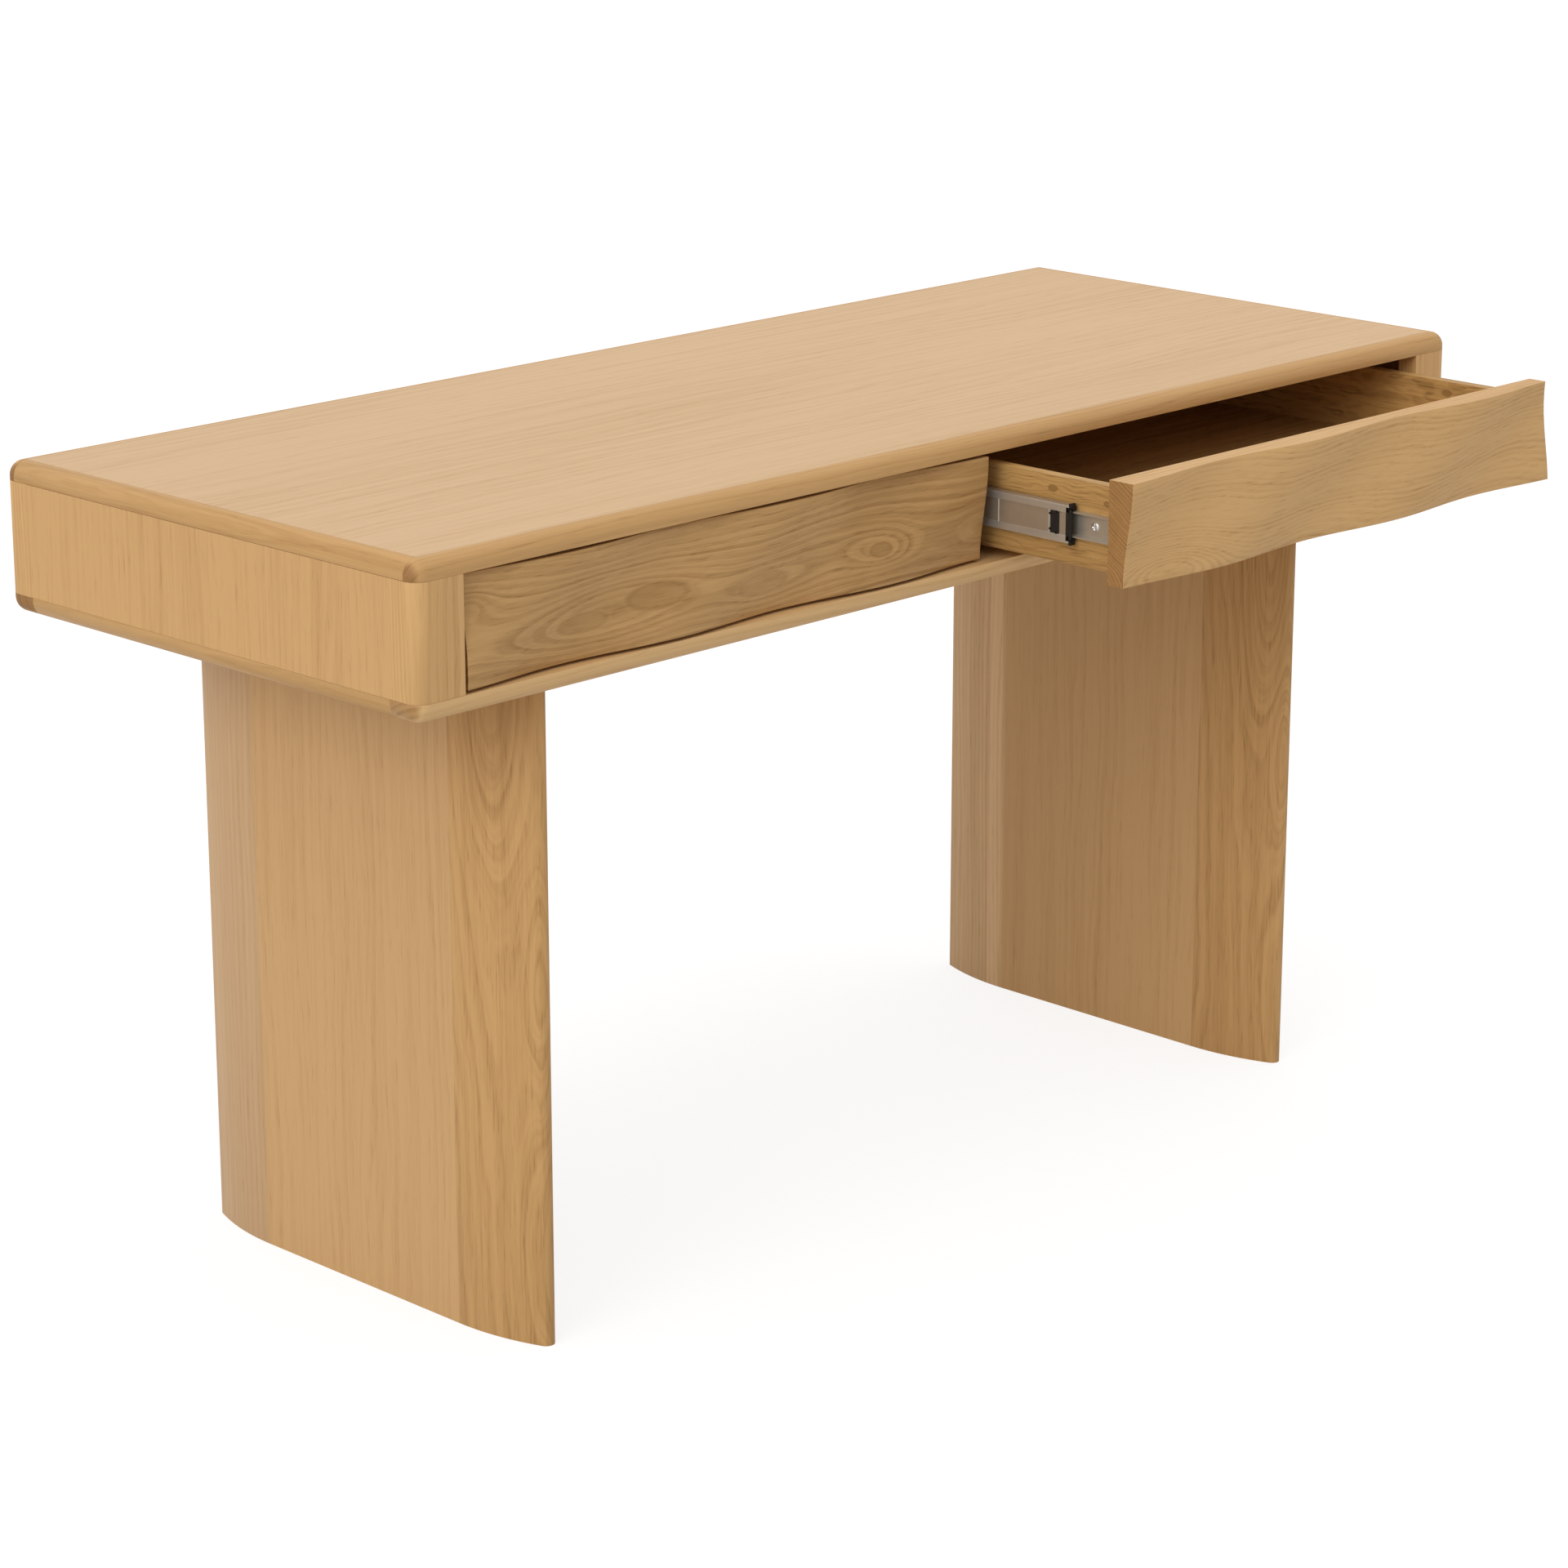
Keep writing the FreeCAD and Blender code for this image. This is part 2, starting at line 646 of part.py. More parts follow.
def make_slides_and_drawers():
    """Everything that slides, and the runners and screws that carry it."""
    screw_hole = make_screw("screw_hole", "fit_clearance")
    screw = make_screw("screw", "0")
    pocketed(screw, recess_corners(), "recess_depth")
    for slide in SLIDES:
        make_runner(slide, screw_hole)
        make_bar(slide, screw_hole)
    runner_screws = [copy for slide in SLIDES for copy in member_screws(screw.Shape, slide, "runner")]
    keep(group("case_screws", runner_screws), "runner_screws")
    for drawer in DIRECTIONS:
        pair = [slide for slide in SLIDES if slide.drawer == drawer]
        make_drawer(drawer, screw_hole)
        bumpers = doc.addObject("Part::Compound", f"{drawer}_bumpers")
        bumpers.Links = [bumper for slide in pair for bumper in make_middle(slide)]
        keep(bumpers, f"{drawer}_slide_bumpers")
        for race in ("outer", "inner"):
            make_cages(drawer, race)
        bar_screws = [copy for slide in pair for copy in member_screws(screw.Shape, slide, "bar")]
        keep(group(f"{drawer}_bar_screws", bar_screws), f"{drawer}_drawer_screws")
    return screw_hole


def runner_holes(screw_hole, name, wanted):
    """The screw holes of the chosen runners, as one cutting tool."""
    return group(name, [copy for slide in SLIDES if wanted(slide)
                        for copy in member_screws(screw_hole.Shape, slide, "runner")])


def check_and_write():
    """Stop at any failed feature or bad shape, then write one file for each node."""
    doc.recompute()
    failed = [item.Name for item in doc.Objects if {"Invalid", "Error"} & set(item.State)]
    if failed:
        raise RuntimeError(f"failed features: {failed}")
    for piece in nodes:
        if piece.Shape.isNull() or not piece.Shape.isValid():
            raise RuntimeError(f"{piece.Label}: bad shape")
    os.makedirs("parts", exist_ok=True)
    for piece in nodes:
        piece.Shape.exportStep(f"parts/{piece.Label}.step")


hole = make_slides_and_drawers()
make_case_walls(runner_holes(hole, "divider_holes", lambda slide: slide.side != slide.drawer),
                {side: runner_holes(hole, f"{side}_packer_holes",
                                    lambda slide, side=side: slide.side == slide.drawer == side)
                 for side in DIRECTIONS})
make_slab("top", ("opening_top", "desk_height"), "top_lipping", "top_lipping")
make_slab("bottom", ("case_floor", "opening_floor"), "bottom_lipping", "end_lipping",
          drilled("bolt_holes", value("bolt_radius") + value("bolt_clearance"),
                  value("bottom_thickness"), value("opening_floor")))
make_legs()
make_bolts()
make_inserts()
check_and_write()
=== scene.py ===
"""Dresses the kneehole desk: oak, zinc drawer slides, soft light, a pale floor and the camera."""

import logging
import math
from dataclasses import dataclass, replace
from enum import Enum
from typing import ClassVar, Sequence, Tuple, Union

import bmesh
import bpy
from mathutils import Matrix, Vector


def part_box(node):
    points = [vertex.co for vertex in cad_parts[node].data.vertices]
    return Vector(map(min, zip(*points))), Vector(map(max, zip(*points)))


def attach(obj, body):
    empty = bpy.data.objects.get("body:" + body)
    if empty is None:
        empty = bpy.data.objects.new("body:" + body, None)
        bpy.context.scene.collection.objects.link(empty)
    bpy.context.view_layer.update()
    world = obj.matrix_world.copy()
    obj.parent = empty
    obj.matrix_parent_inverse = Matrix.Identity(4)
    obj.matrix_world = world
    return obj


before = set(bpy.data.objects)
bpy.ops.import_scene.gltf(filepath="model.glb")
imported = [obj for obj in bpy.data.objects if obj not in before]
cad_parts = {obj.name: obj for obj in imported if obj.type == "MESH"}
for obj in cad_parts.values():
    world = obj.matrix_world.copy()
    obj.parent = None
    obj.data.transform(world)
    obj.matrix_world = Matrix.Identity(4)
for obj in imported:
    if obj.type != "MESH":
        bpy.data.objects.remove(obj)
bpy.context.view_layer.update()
LOG = logging.getLogger("desk")

Colour = Tuple[float, float, float]
Triple = Tuple[float, float, float]
Band = Tuple[float, float]
SocketKinds = Sequence[Tuple[str, str]]
Socket = bpy.types.NodeSocket
Fed = Union[Socket, float, Sequence[float]]


def opaque(colour: Colour) -> Tuple[float, float, float, float]:
    """The colour with full cover, as a colour socket takes it."""
    return (*colour, 1.0)


def grey(level: float) -> Tuple[float, float, float, float]:
    """A grey of that level, as a colour socket takes it."""
    return opaque((level, level, level))


class Grain(Enum):
    """The way that a board's grain runs, as the turn that lays it along the pattern's own X."""

    ALONG_X = (0.0, 0.0, 0.0)
    ALONG_Y = (0.0, 0.0, -math.pi / 2)
    ALONG_Z = (0.0, math.pi / 2, 0.0)

    @property
    def axis(self) -> Triple:
        """The way of the grain as a unit vector."""
        return tuple(float(self is way) for way in Grain)

    @property
    def spread(self) -> Tuple[int, int]:
        """The axes along and across the grain on which ovals are placed."""
        return {Grain.ALONG_X: (0, 2), Grain.ALONG_Y: (1, 2), Grain.ALONG_Z: (2, 1)}[self]


class Side(Enum):
    """The desk's two halves, or a drawer's two walls, as words in the nodes' names."""

    LEFT = "left"
    RIGHT = "right"


class Blend(Enum):
    """How one colour is laid over another."""

    MIX = "MIX"
    MULTIPLY = "MULTIPLY"


class Graph:
    """Places shader nodes in one tree, one plain call for each step of a pattern."""

    NOISE_MIDDLE = 0.5
    NOISE_DETAIL = 2.0
    MIX_INPUTS = (0, 6, 7)
    MIX_OUTPUT = 2

    def __init__(self, tree: bpy.types.NodeTree) -> None:
        """Keeps the tree that the nodes go into."""
        self.tree = tree

    def node(self, kind: str, **settings: object) -> bpy.types.Node:
        """Adds a node.

        Args:
            kind: the node's type.
            settings: its settings, by their names.

        Returns:
            The node.
        """
        made = self.tree.nodes.new(kind)
        for name, value in settings.items():
            setattr(made, name, value)
        return made

    def feed(self, socket: Socket, value: Fed) -> None:
        """Links an output to a socket, or sets a plain value on it.

        Args:
            socket: the socket that takes the value.
            value: another node's output, or a plain value.
        """
        if isinstance(value, Socket):
            self.tree.links.new(value, socket)
        else:
            socket.default_value = value

    def math(self, step: str, *values: Fed, clamp: bool = False) -> Socket:
        """Does one Math step.

        Args:
            step: the step's name, such as MULTIPLY_ADD.
            values: one to three values.
            clamp: whether the result is kept from 0 to 1.

        Returns:
            The result.
        """
        made = self.node("ShaderNodeMath", operation=step, use_clamp=clamp)
        for socket, value in zip(made.inputs, values):
            self.feed(socket, value)
        return made.outputs[0]

    def weighted(self, *parts: Tuple[Fed, Fed]) -> Socket:
        """Adds values up, each times its own weight.

        Args:
            parts: pairs of a value and its weight.

        Returns:
            The sum.
        """
        total: Fed = 0.0
        for value, weight in parts:
            total = self.math("MULTIPLY_ADD", value, weight, total)
        return total

    def blend(self, share: Fed, first: Fed, second: Fed, way: Blend = Blend.MIX) -> Socket:
        """Lays one colour over another.

        Args:
            share: how much of the second colour there is, from 0 to 1.
            first: the colour below.
            second: the colour above.
            way: how it is laid.

        Returns:
            The colour.
        """
        made = self.node("ShaderNodeMix", data_type="RGBA", blend_type=way.value)
        for place, value in zip(self.MIX_INPUTS, (share, first, second)):
            self.feed(made.inputs[place], value)
        return made.outputs[self.MIX_OUTPUT]

    def step(self, value: Fed, low: float, high: float) -> Socket:
        """Makes a soft step from 0 to 1.

        Args:
            value: what the step follows.
            low: the value where it starts to rise.
            high: the value where it has risen.

        Returns:
            The step.
        """
        made = self.node("ShaderNodeMapRange", interpolation_type="SMOOTHSTEP")
        for place, given in enumerate((value, low, high, 0.0, 1.0)):
            self.feed(made.inputs[place], given)
        return made.outputs[0]

    def pulse(self, value: Fed, rise: Band, fall: Band) -> Socket:
        """1 between a soft rise and a soft fall, and 0 outside them."""
        fallen = self.math("SUBTRACT", 1.0, self.step(value, *fall))
        return self.math("MULTIPLY", self.step(value, *rise), fallen)

    def noise(self, vector: Fed, waves: Triple, detail: float = NOISE_DETAIL) -> Socket:
        """Makes noise from 0 to 1.

        Args:
            vector: the place.
            waves: the number of waves a metre along each way.
            detail: how finely the waves are broken up.

        Returns:
            The noise.
        """
        drawn = self.node("ShaderNodeVectorMath", operation="MULTIPLY")
        self.feed(drawn.inputs[0], vector)
        self.feed(drawn.inputs[1], waves)
        made = self.node("ShaderNodeTexNoise")
        self.feed(made.inputs["Vector"], drawn.outputs[0])
        self.feed(made.inputs["Scale"], 1.0)
        self.feed(made.inputs["Detail"], detail)
        return made.outputs[0]

    def swing(self, vector: Fed, waves: Triple, detail: float = NOISE_DETAIL) -> Socket:
        """The same noise, to both sides of 0."""
        return self.math("SUBTRACT", self.noise(vector, waves, detail), self.NOISE_MIDDLE)

    def split(self, vector: Fed) -> Sequence[Socket]:
        """Takes a vector apart.

        Args:
            vector: the vector.

        Returns:
            Its three parts.
        """
        made = self.node("ShaderNodeSeparateXYZ")
        self.feed(made.inputs[0], vector)
        return made.outputs


class GroupGraph(Graph):
    """The inside of a shader node group, with its ways in and out at hand."""

    def __init__(self, name: str, inputs: SocketKinds, outputs: SocketKinds) -> None:
        """Starts the group.

        Args:
            name: the group's name.
            inputs: pairs of a socket's name and its kind, such as Float or Color.
            outputs: the same for what the group puts out.
        """
        super().__init__(bpy.data.node_groups.new(name, "ShaderNodeTree"))
        for sockets, way in ((inputs, "INPUT"), (outputs, "OUTPUT")):
            for socket, kind in sockets:
                self.tree.interface.new_socket(name=socket, in_out=way, socket_type=f"NodeSocket{kind}")
        self.given = self.node("NodeGroupInput").outputs
        self.result = self.node("NodeGroupOutput").inputs


class MaterialGraph(Graph):
    """A new material's tree, with its shader and the surface's coordinates at hand."""

    def __init__(self, name: str) -> None:
        """Starts the material.

        Args:
            name: the material's name.
        """
        self.material = bpy.data.materials.new(name)
        self.material.use_nodes = True
        super().__init__(self.material.node_tree)
        self.shader = self.tree.nodes["Principled BSDF"].inputs
        self.coordinates = self.node("ShaderNodeTexCoord").outputs

    def surface(self, colour: Fed, roughness: Fed) -> None:
        """Gives the surface its colour and its roughness."""
        self.feed(self.shader["Base Color"], colour)
        self.feed(self.shader["Roughness"], roughness)

    def relief(self, height: Fed, strength: float, depth: float) -> None:
        """Roughens the surface by a height that changes over it.

        Args:
            height: the height, below 0 where the surface sinks.
            strength: how strongly it shows.
            depth: what a height of 1 stands for, in metres.
        """
        bump = self.node("ShaderNodeBump")
        self.feed(bump.inputs["Strength"], strength)
        self.feed(bump.inputs["Distance"], depth)
        self.feed(bump.inputs["Height"], height)
        self.feed(self.shader["Normal"], bump.outputs[0])


@dataclass(frozen=True)
class Hill:
    """An oval of the figure, where the cutter went through a swelling of the growth rings.

    rings is the number of rings that it swells the figure by, stain darkens its middle, and calm
    is the share of the rings' strength that it takes away inside.
    """

    along: float
    level: float
    half_length: float
    half_height: float
    rings: float
    stain: float = 0.0
    calm: float = 0.0


@dataclass(frozen=True)
class OakCut:
    """How strongly a kind of board shows its grain. taper narrows the tree along the grain."""

    pale: Colour
    dark: Colour
    spacing: float = 0.0045
    wander: float = 0.012
    ripple: float = 0.0015
    taper: float = 0.0
    figure: float = 0.45
    streak: float = 0.5


@dataclass(frozen=True)
class Board:
    """One board, and the place in its tree that it was sawn from.

    heart is the tree's middle, as seen along the grain, so that a far heart gives straight lines
    and one close behind the face gives arches. shift is the board's place along the tree.
    """

    node: str
    cut: OakCut
    grain: Grain
    heart: Tuple[float, float] = (0.6, 0.2)
    shift: float = 0.0
    hills: Tuple[Hill, ...] = ()


class OakFinish:
    """Clear-oiled oak, made as one shared figure group and one material for each board.

    Waves are counts a metre along, across and into the board. Bands, rises and falls are the two
    values that a soft step lies between.
    """

    INPUTS = (("Vector", "Vector"), ("Ring Spacing", "Float"), ("Wander", "Float"), ("Ripple", "Float"),
              ("Taper", "Float"), ("Swell", "Float"), ("Stain", "Float"), ("End", "Float"),
              ("Figure", "Float"), ("Streak", "Float"), ("Pale", "Color"), ("Dark", "Color"))
    OUTPUTS = (("Color", "Color"), ("Roughness", "Float"), ("Height", "Float"))

    WANDER_WAVES = (2.2, 9.0, 9.0)
    RIPPLE_WAVES = (16.0, 46.0, 46.0)
    BREAK_WAVES = (5.0, 60.0, 60.0)
    FIBRE_WAVES = (9.0, 420.0, 420.0)
    STRAND_WAVES = (2.2, 75.0, 75.0)
    PATCH_WAVES = (1.3, 6.0, 6.0)
    PORE_WAVES = (34.0, 560.0, 560.0)
    STRAND_DETAIL = 3.0
    SMOOTH_DETAIL = 1.0

    EARLY_RISE = (0.0, 0.16)
    EARLY_FALL = (0.2, 0.85)
    THIN_RISE = (0.0, 0.2)
    THIN_FALL = (0.25, 0.75)
    BREAK_BAND = (0.35, 0.7)
    ZONE_BAND = (0.35, 0.7)
    PORE_BAND = (0.55, 0.7)
    END_BAND = (0.45, 0.9)
    STAIN_BAND = (0.3, 0.52)
    CALM_BAND = (0.28, 0.4)
    RIM_FALL = (0.4, 0.62)

    THIN_RATE = 2.7
    THIN_FRET = 1.5
    ZONE_RATE = 0.31
    YEAR_CHANGE = 0.65
    PORE_GATHER = 0.7
    RIM_SHARE = 0.5

    THIN_WEIGHT = 0.5
    ZONE_WEIGHT = 0.5
    FIBRE_WEIGHT = 0.9
    STRAND_WEIGHT = 1.1
    PORE_WEIGHT = 0.6
    PATCH_WEIGHT = 0.5

    PORE_HEIGHT = -0.8
    EARLY_HEIGHT = -0.35
    FIBRE_HEIGHT = -0.4
    RELIEF = 0.35
    RELIEF_DEPTH = 0.0006

    GLOSS = 0.52
    DRYNESS = 0.12
    SHEEN = 0.3
    END_TONE = (0.64, 0.56, 0.47)
    END_FIGURE = 0.4

    def __init__(self) -> None:
        """Builds the figure group that every board's material uses."""
        self.figure = self._figure_group()

    def _figure_group(self) -> bpy.types.NodeTree:
        """Draws growth rings, pores and fibres round a tree's heart that runs along X.

        Returns:
            The group, with a colour, a roughness and a height.
        """
        g = GroupGraph("oak_figure", self.INPUTS, self.OUTPUTS)
        given = g.given
        place = given["Vector"]
        ripple = g.swing(place, self.RIPPLE_WAVES)
        early, rings = self._rings(g, self._phase(g, ripple), ripple)

        fibre = g.swing(place, self.FIBRE_WAVES)
        strand = g.swing(place, self.STRAND_WAVES, self.STRAND_DETAIL)
        patch = g.swing(place, self.PATCH_WAVES, self.SMOOTH_DETAIL)
        pore = g.step(g.noise(place, self.PORE_WAVES, self.SMOOTH_DETAIL), *self.PORE_BAND)
        gathered = g.math("MULTIPLY_ADD", early, self.PORE_GATHER, 1.0 - self.PORE_GATHER)
        pore = g.math("MULTIPLY", pore, gathered)

        lines = g.weighted((strand, self.STRAND_WEIGHT), (fibre, self.FIBRE_WEIGHT),
                           (pore, self.PORE_WEIGHT))
        drawn = g.weighted((rings, given["Figure"]), (lines, given["Streak"]), (patch, self.PATCH_WEIGHT))
        shade = g.math("ADD", drawn, given["Stain"], clamp=True)
        sawn = g.blend(shade, given["Pale"], given["Dark"])
        g.feed(g.result["Color"], g.blend(given["End"], sawn, opaque(self.END_TONE), Blend.MULTIPLY))
        g.feed(g.result["Roughness"], g.math("MULTIPLY_ADD", shade, self.DRYNESS, self.GLOSS))
        height = g.weighted((early, self.EARLY_HEIGHT), (pore, self.PORE_HEIGHT), (fibre, self.FIBRE_HEIGHT))
        g.feed(g.result["Height"], height)
        return g.tree

    def _phase(self, g: GroupGraph, ripple: Socket) -> Socket:
        """Counts the growth rings out from the tree's heart.

        Args:
            g: the group's graph.
            ripple: the quick noise that frets the rings.

        Returns:
            The count, whose whole part is the year and whose fraction is the season.
        """
        along, across, deep = g.split(g.given["Vector"])
        reach = g.math("SQRT", g.weighted((across, across), (deep, deep)))
        slow = g.swing(g.given["Vector"], self.WANDER_WAVES)
        ring = g.weighted((reach, 1.0), (slow, g.given["Wander"]), (ripple, g.given["Ripple"]),
                          (along, g.given["Taper"]))
        return g.math("ADD", g.math("DIVIDE", ring, g.given["Ring Spacing"]), g.given["Swell"])

    def _rings(self, g: GroupGraph, phase: Socket, ripple: Socket) -> Tuple[Socket, Socket]:
        """Shades the rings: each year's early wood, thin broken lines, and zones of darker years.

        Args:
            g: the group's graph.
            phase: the count of the rings.
            ripple: the quick noise that frets the thin lines.

        Returns:
            The early wood's shade alone, and that of all the rings.
        """
        year = g.node("ShaderNodeTexWhiteNoise", noise_dimensions="1D")
        g.feed(year.inputs["W"], g.math("FLOOR", phase))
        strength = g.math("MULTIPLY_ADD", year.outputs["Value"], self.YEAR_CHANGE, 1.0 - self.YEAR_CHANGE)
        season = g.pulse(g.math("FRACT", phase), self.EARLY_RISE, self.EARLY_FALL)
        early = g.math("MULTIPLY", season, strength)
        count = g.math("FRACT", g.weighted((phase, self.THIN_RATE), (ripple, self.THIN_FRET)))
        broken = g.step(g.noise(g.given["Vector"], self.BREAK_WAVES), *self.BREAK_BAND)
        thin = g.math("MULTIPLY", g.pulse(count, self.THIN_RISE, self.THIN_FALL), broken)
        years = g.node("ShaderNodeTexNoise", noise_dimensions="1D")
        g.feed(years.inputs["W"], g.math("MULTIPLY", phase, self.ZONE_RATE))
        zone = g.step(years.outputs[0], *self.ZONE_BAND)
        return early, g.weighted((early, 1.0), (zone, self.ZONE_WEIGHT), (thin, self.THIN_WEIGHT))

    def _ovals(self, g: MaterialGraph, board: Board) -> Tuple[Fed, Fed, Fed]:
        """Adds the figure's ovals up.

        Args:
            g: the material's graph.
            board: the board, with its ovals.

        Returns:
            The number of rings by which the ovals swell the figure, the stain of their middles, and
            the strength that is left to the rings.
        """
        swell: Fed = 0.0
        stain: Fed = 0.0
        figure: Fed = board.cut.figure
        ways = g.split(g.coordinates["Object"])
        along, across = (ways[way] for way in board.grain.spread)
        for hill in board.hills:
            far = g.math("DIVIDE", g.math("SUBTRACT", along, hill.along), hill.half_length)
            up = g.math("DIVIDE", g.math("SUBTRACT", across, hill.level), hill.half_height)
            square = g.weighted((far, far), (up, up))
            rise = g.math("EXPONENT", g.math("MULTIPLY", square, -1.0))
            swell = g.math("MULTIPLY_ADD", rise, hill.rings, swell)
            if hill.stain:
                stain = g.math("MULTIPLY_ADD", g.step(rise, *self.STAIN_BAND), hill.stain, stain)
            if hill.calm:
                rim = g.pulse(rise, self.CALM_BAND, self.RIM_FALL)
                stain = g.math("MULTIPLY_ADD", rim, hill.stain * self.RIM_SHARE, stain)
                middle = g.step(rise, *self.CALM_BAND)
                figure = g.math("MULTIPLY_ADD", middle, -hill.calm * board.cut.figure, figure)
        return swell, stain, figure

    def material(self, board: Board) -> bpy.types.Material:
        """Makes one board's material.

        Args:
            board: the board.

        Returns:
            The material.
        """
        g = MaterialGraph(f"oak_{board.node}")
        cut = board.cut
        laid = g.node("ShaderNodeMapping")
        g.feed(laid.inputs["Vector"], g.coordinates["Object"])
        g.feed(laid.inputs["Rotation"], board.grain.value)
        g.feed(laid.inputs["Location"], (board.shift, -board.heart[0], -board.heart[1]))
        facing = g.node("ShaderNodeVectorMath", operation="DOT_PRODUCT")
        g.feed(facing.inputs[0], g.coordinates["Normal"])
        g.feed(facing.inputs[1], board.grain.axis)
        end = g.step(g.math("ABSOLUTE", facing.outputs["Value"]), *self.END_BAND)
        swell, stain, rings = self._ovals(g, board)
        figure = g.node("ShaderNodeGroup", node_tree=self.figure)
        given = {"Vector": laid.outputs[0], "Ring Spacing": cut.spacing, "Wander": cut.wander,
                 "Ripple": cut.ripple, "Taper": cut.taper, "Swell": swell, "Stain": stain, "End": end,
                 "Figure": g.math("MULTIPLY_ADD", end, self.END_FIGURE, rings), "Streak": cut.streak,
                 "Pale": opaque(cut.pale), "Dark": opaque(cut.dark)}
        for socket, value in given.items():
            g.feed(figure.inputs[socket], value)
        g.surface(figure.outputs["Color"], figure.outputs["Roughness"])
        g.relief(figure.outputs["Height"], self.RELIEF, self.RELIEF_DEPTH)
        g.feed(g.shader["Specular IOR Level"], self.SHEEN)
        return g.material


@dataclass(frozen=True)
class MetalFinish:
    """Plated steel with a fine spangle and drawing lines along the desk's depth."""

    DRAWN_WAVES: ClassVar[Triple] = (900.0, 14.0, 900.0)
    SPANGLE_WAVES: ClassVar[Triple] = (160.0, 160.0, 160.0)
    CLOUD_WAVES: ClassVar[Triple] = (22.0, 22.0, 22.0)
    SPANGLE_WEIGHT: ClassVar[float] = 0.6
    CLOUD_WEIGHT: ClassVar[float] = 0.5
    DRAWN_ROUGHNESS: ClassVar[float] = 0.22
    RELIEF: ClassVar[float] = 0.15
    RELIEF_DEPTH: ClassVar[float] = 0.0002

    name: str
    colour: Colour
    worn: Colour
    roughness: float
    metallic: float = 0.9

    def material(self) -> bpy.types.Material:
        """Makes the plating's material.

        Returns:
            The material.
        """
        g = MaterialGraph(self.name)
        place = g.coordinates["Object"]
        drawn = g.noise(place, self.DRAWN_WAVES)
        cloud = g.math("MULTIPLY", g.noise(place, self.CLOUD_WAVES), self.CLOUD_WEIGHT)
        spangle = g.noise(place, self.SPANGLE_WAVES)
        share = g.math("MULTIPLY_ADD", spangle, self.SPANGLE_WEIGHT, cloud, clamp=True)
        g.surface(g.blend(share, opaque(self.colour), opaque(self.worn)),
                  g.math("MULTIPLY_ADD", drawn, self.DRAWN_ROUGHNESS, self.roughness))
        g.relief(drawn, self.RELIEF, self.RELIEF_DEPTH)
        g.feed(g.shader["Metallic"], self.metallic)
        return g.material


@dataclass(frozen=True)
class PlasticFinish:
    """Moulded plastic with a fine sparked texture."""

    SPARK_WAVES: ClassVar[Triple] = (1400.0, 1400.0, 1400.0)
    RUB_WAVES: ClassVar[Triple] = (90.0, 90.0, 90.0)
    RUB_BAND: ClassVar[Band] = (0.5, 0.8)
    SPARK_ROUGHNESS: ClassVar[float] = 0.2
    RELIEF: ClassVar[float] = 0.25
    RELIEF_DEPTH: ClassVar[float] = 0.0002
    SHEEN: ClassVar[float] = 0.25

    name: str
    colour: Colour
    scuffed: Colour
    roughness: float

    def material(self) -> bpy.types.Material:
        """Makes the plastic's material.

        Returns:
            The material.
        """
        g = MaterialGraph(self.name)
        place = g.coordinates["Object"]
        spark = g.noise(place, self.SPARK_WAVES)
        rub = g.step(g.noise(place, self.RUB_WAVES), *self.RUB_BAND)
        g.surface(g.blend(rub, opaque(self.colour), opaque(self.scuffed)),
                  g.math("MULTIPLY_ADD", spark, self.SPARK_ROUGHNESS, self.roughness))
        g.relief(spark, self.RELIEF, self.RELIEF_DEPTH)
        g.feed(g.shader["Specular IOR Level"], self.SHEEN)
        return g.material


class Dresser:
    """Gives CAD nodes their finish and their softened edges."""

    SEAM = 0.00001
    EASE = 0.0006
    EASE_STEPS = 2
    CREASE = 40.0

    def __init__(self, oak: OakFinish) -> None:
        """Keeps the oak that the boards are made of."""
        self.oak = oak

    @staticmethod
    def paint(name: str, material: bpy.types.Material) -> None:
        """Puts a material on a CAD node's object in place of what it came with.

        Args:
            name: the node's name.
            material: its finish.
        """
        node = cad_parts[name]
        node.data.materials.clear()
        node.data.materials.append(material)
        LOG.info("%s is dressed in %s", name, material.name)

    def soften(self, name: str) -> None:
        """Joins a node's triangles and eases its sharp edges, so that each joint shows as a line.

        Args:
            name: the node's name.
        """
        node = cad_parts[name]
        weld = node.modifiers.new("joined", "WELD")
        weld.merge_threshold = self.SEAM
        bevel = node.modifiers.new("eased", "BEVEL")
        bevel.width = self.EASE
        bevel.segments = self.EASE_STEPS
        bevel.limit_method = "ANGLE"
        bevel.angle_limit = math.radians(self.CREASE)

    def board(self, board: Board) -> None:
        """Dresses one board."""
        self.paint(board.node, self.oak.material(board))
        self.soften(board.node)


@dataclass
class Assembly:
    """A part of the desk that is made of boards."""

    boards: Tuple[Board, ...] = ()

    def dress(self, dresser: Dresser) -> None:
        """Dresses every board."""
        for board in self.boards:
            dresser.board(board)


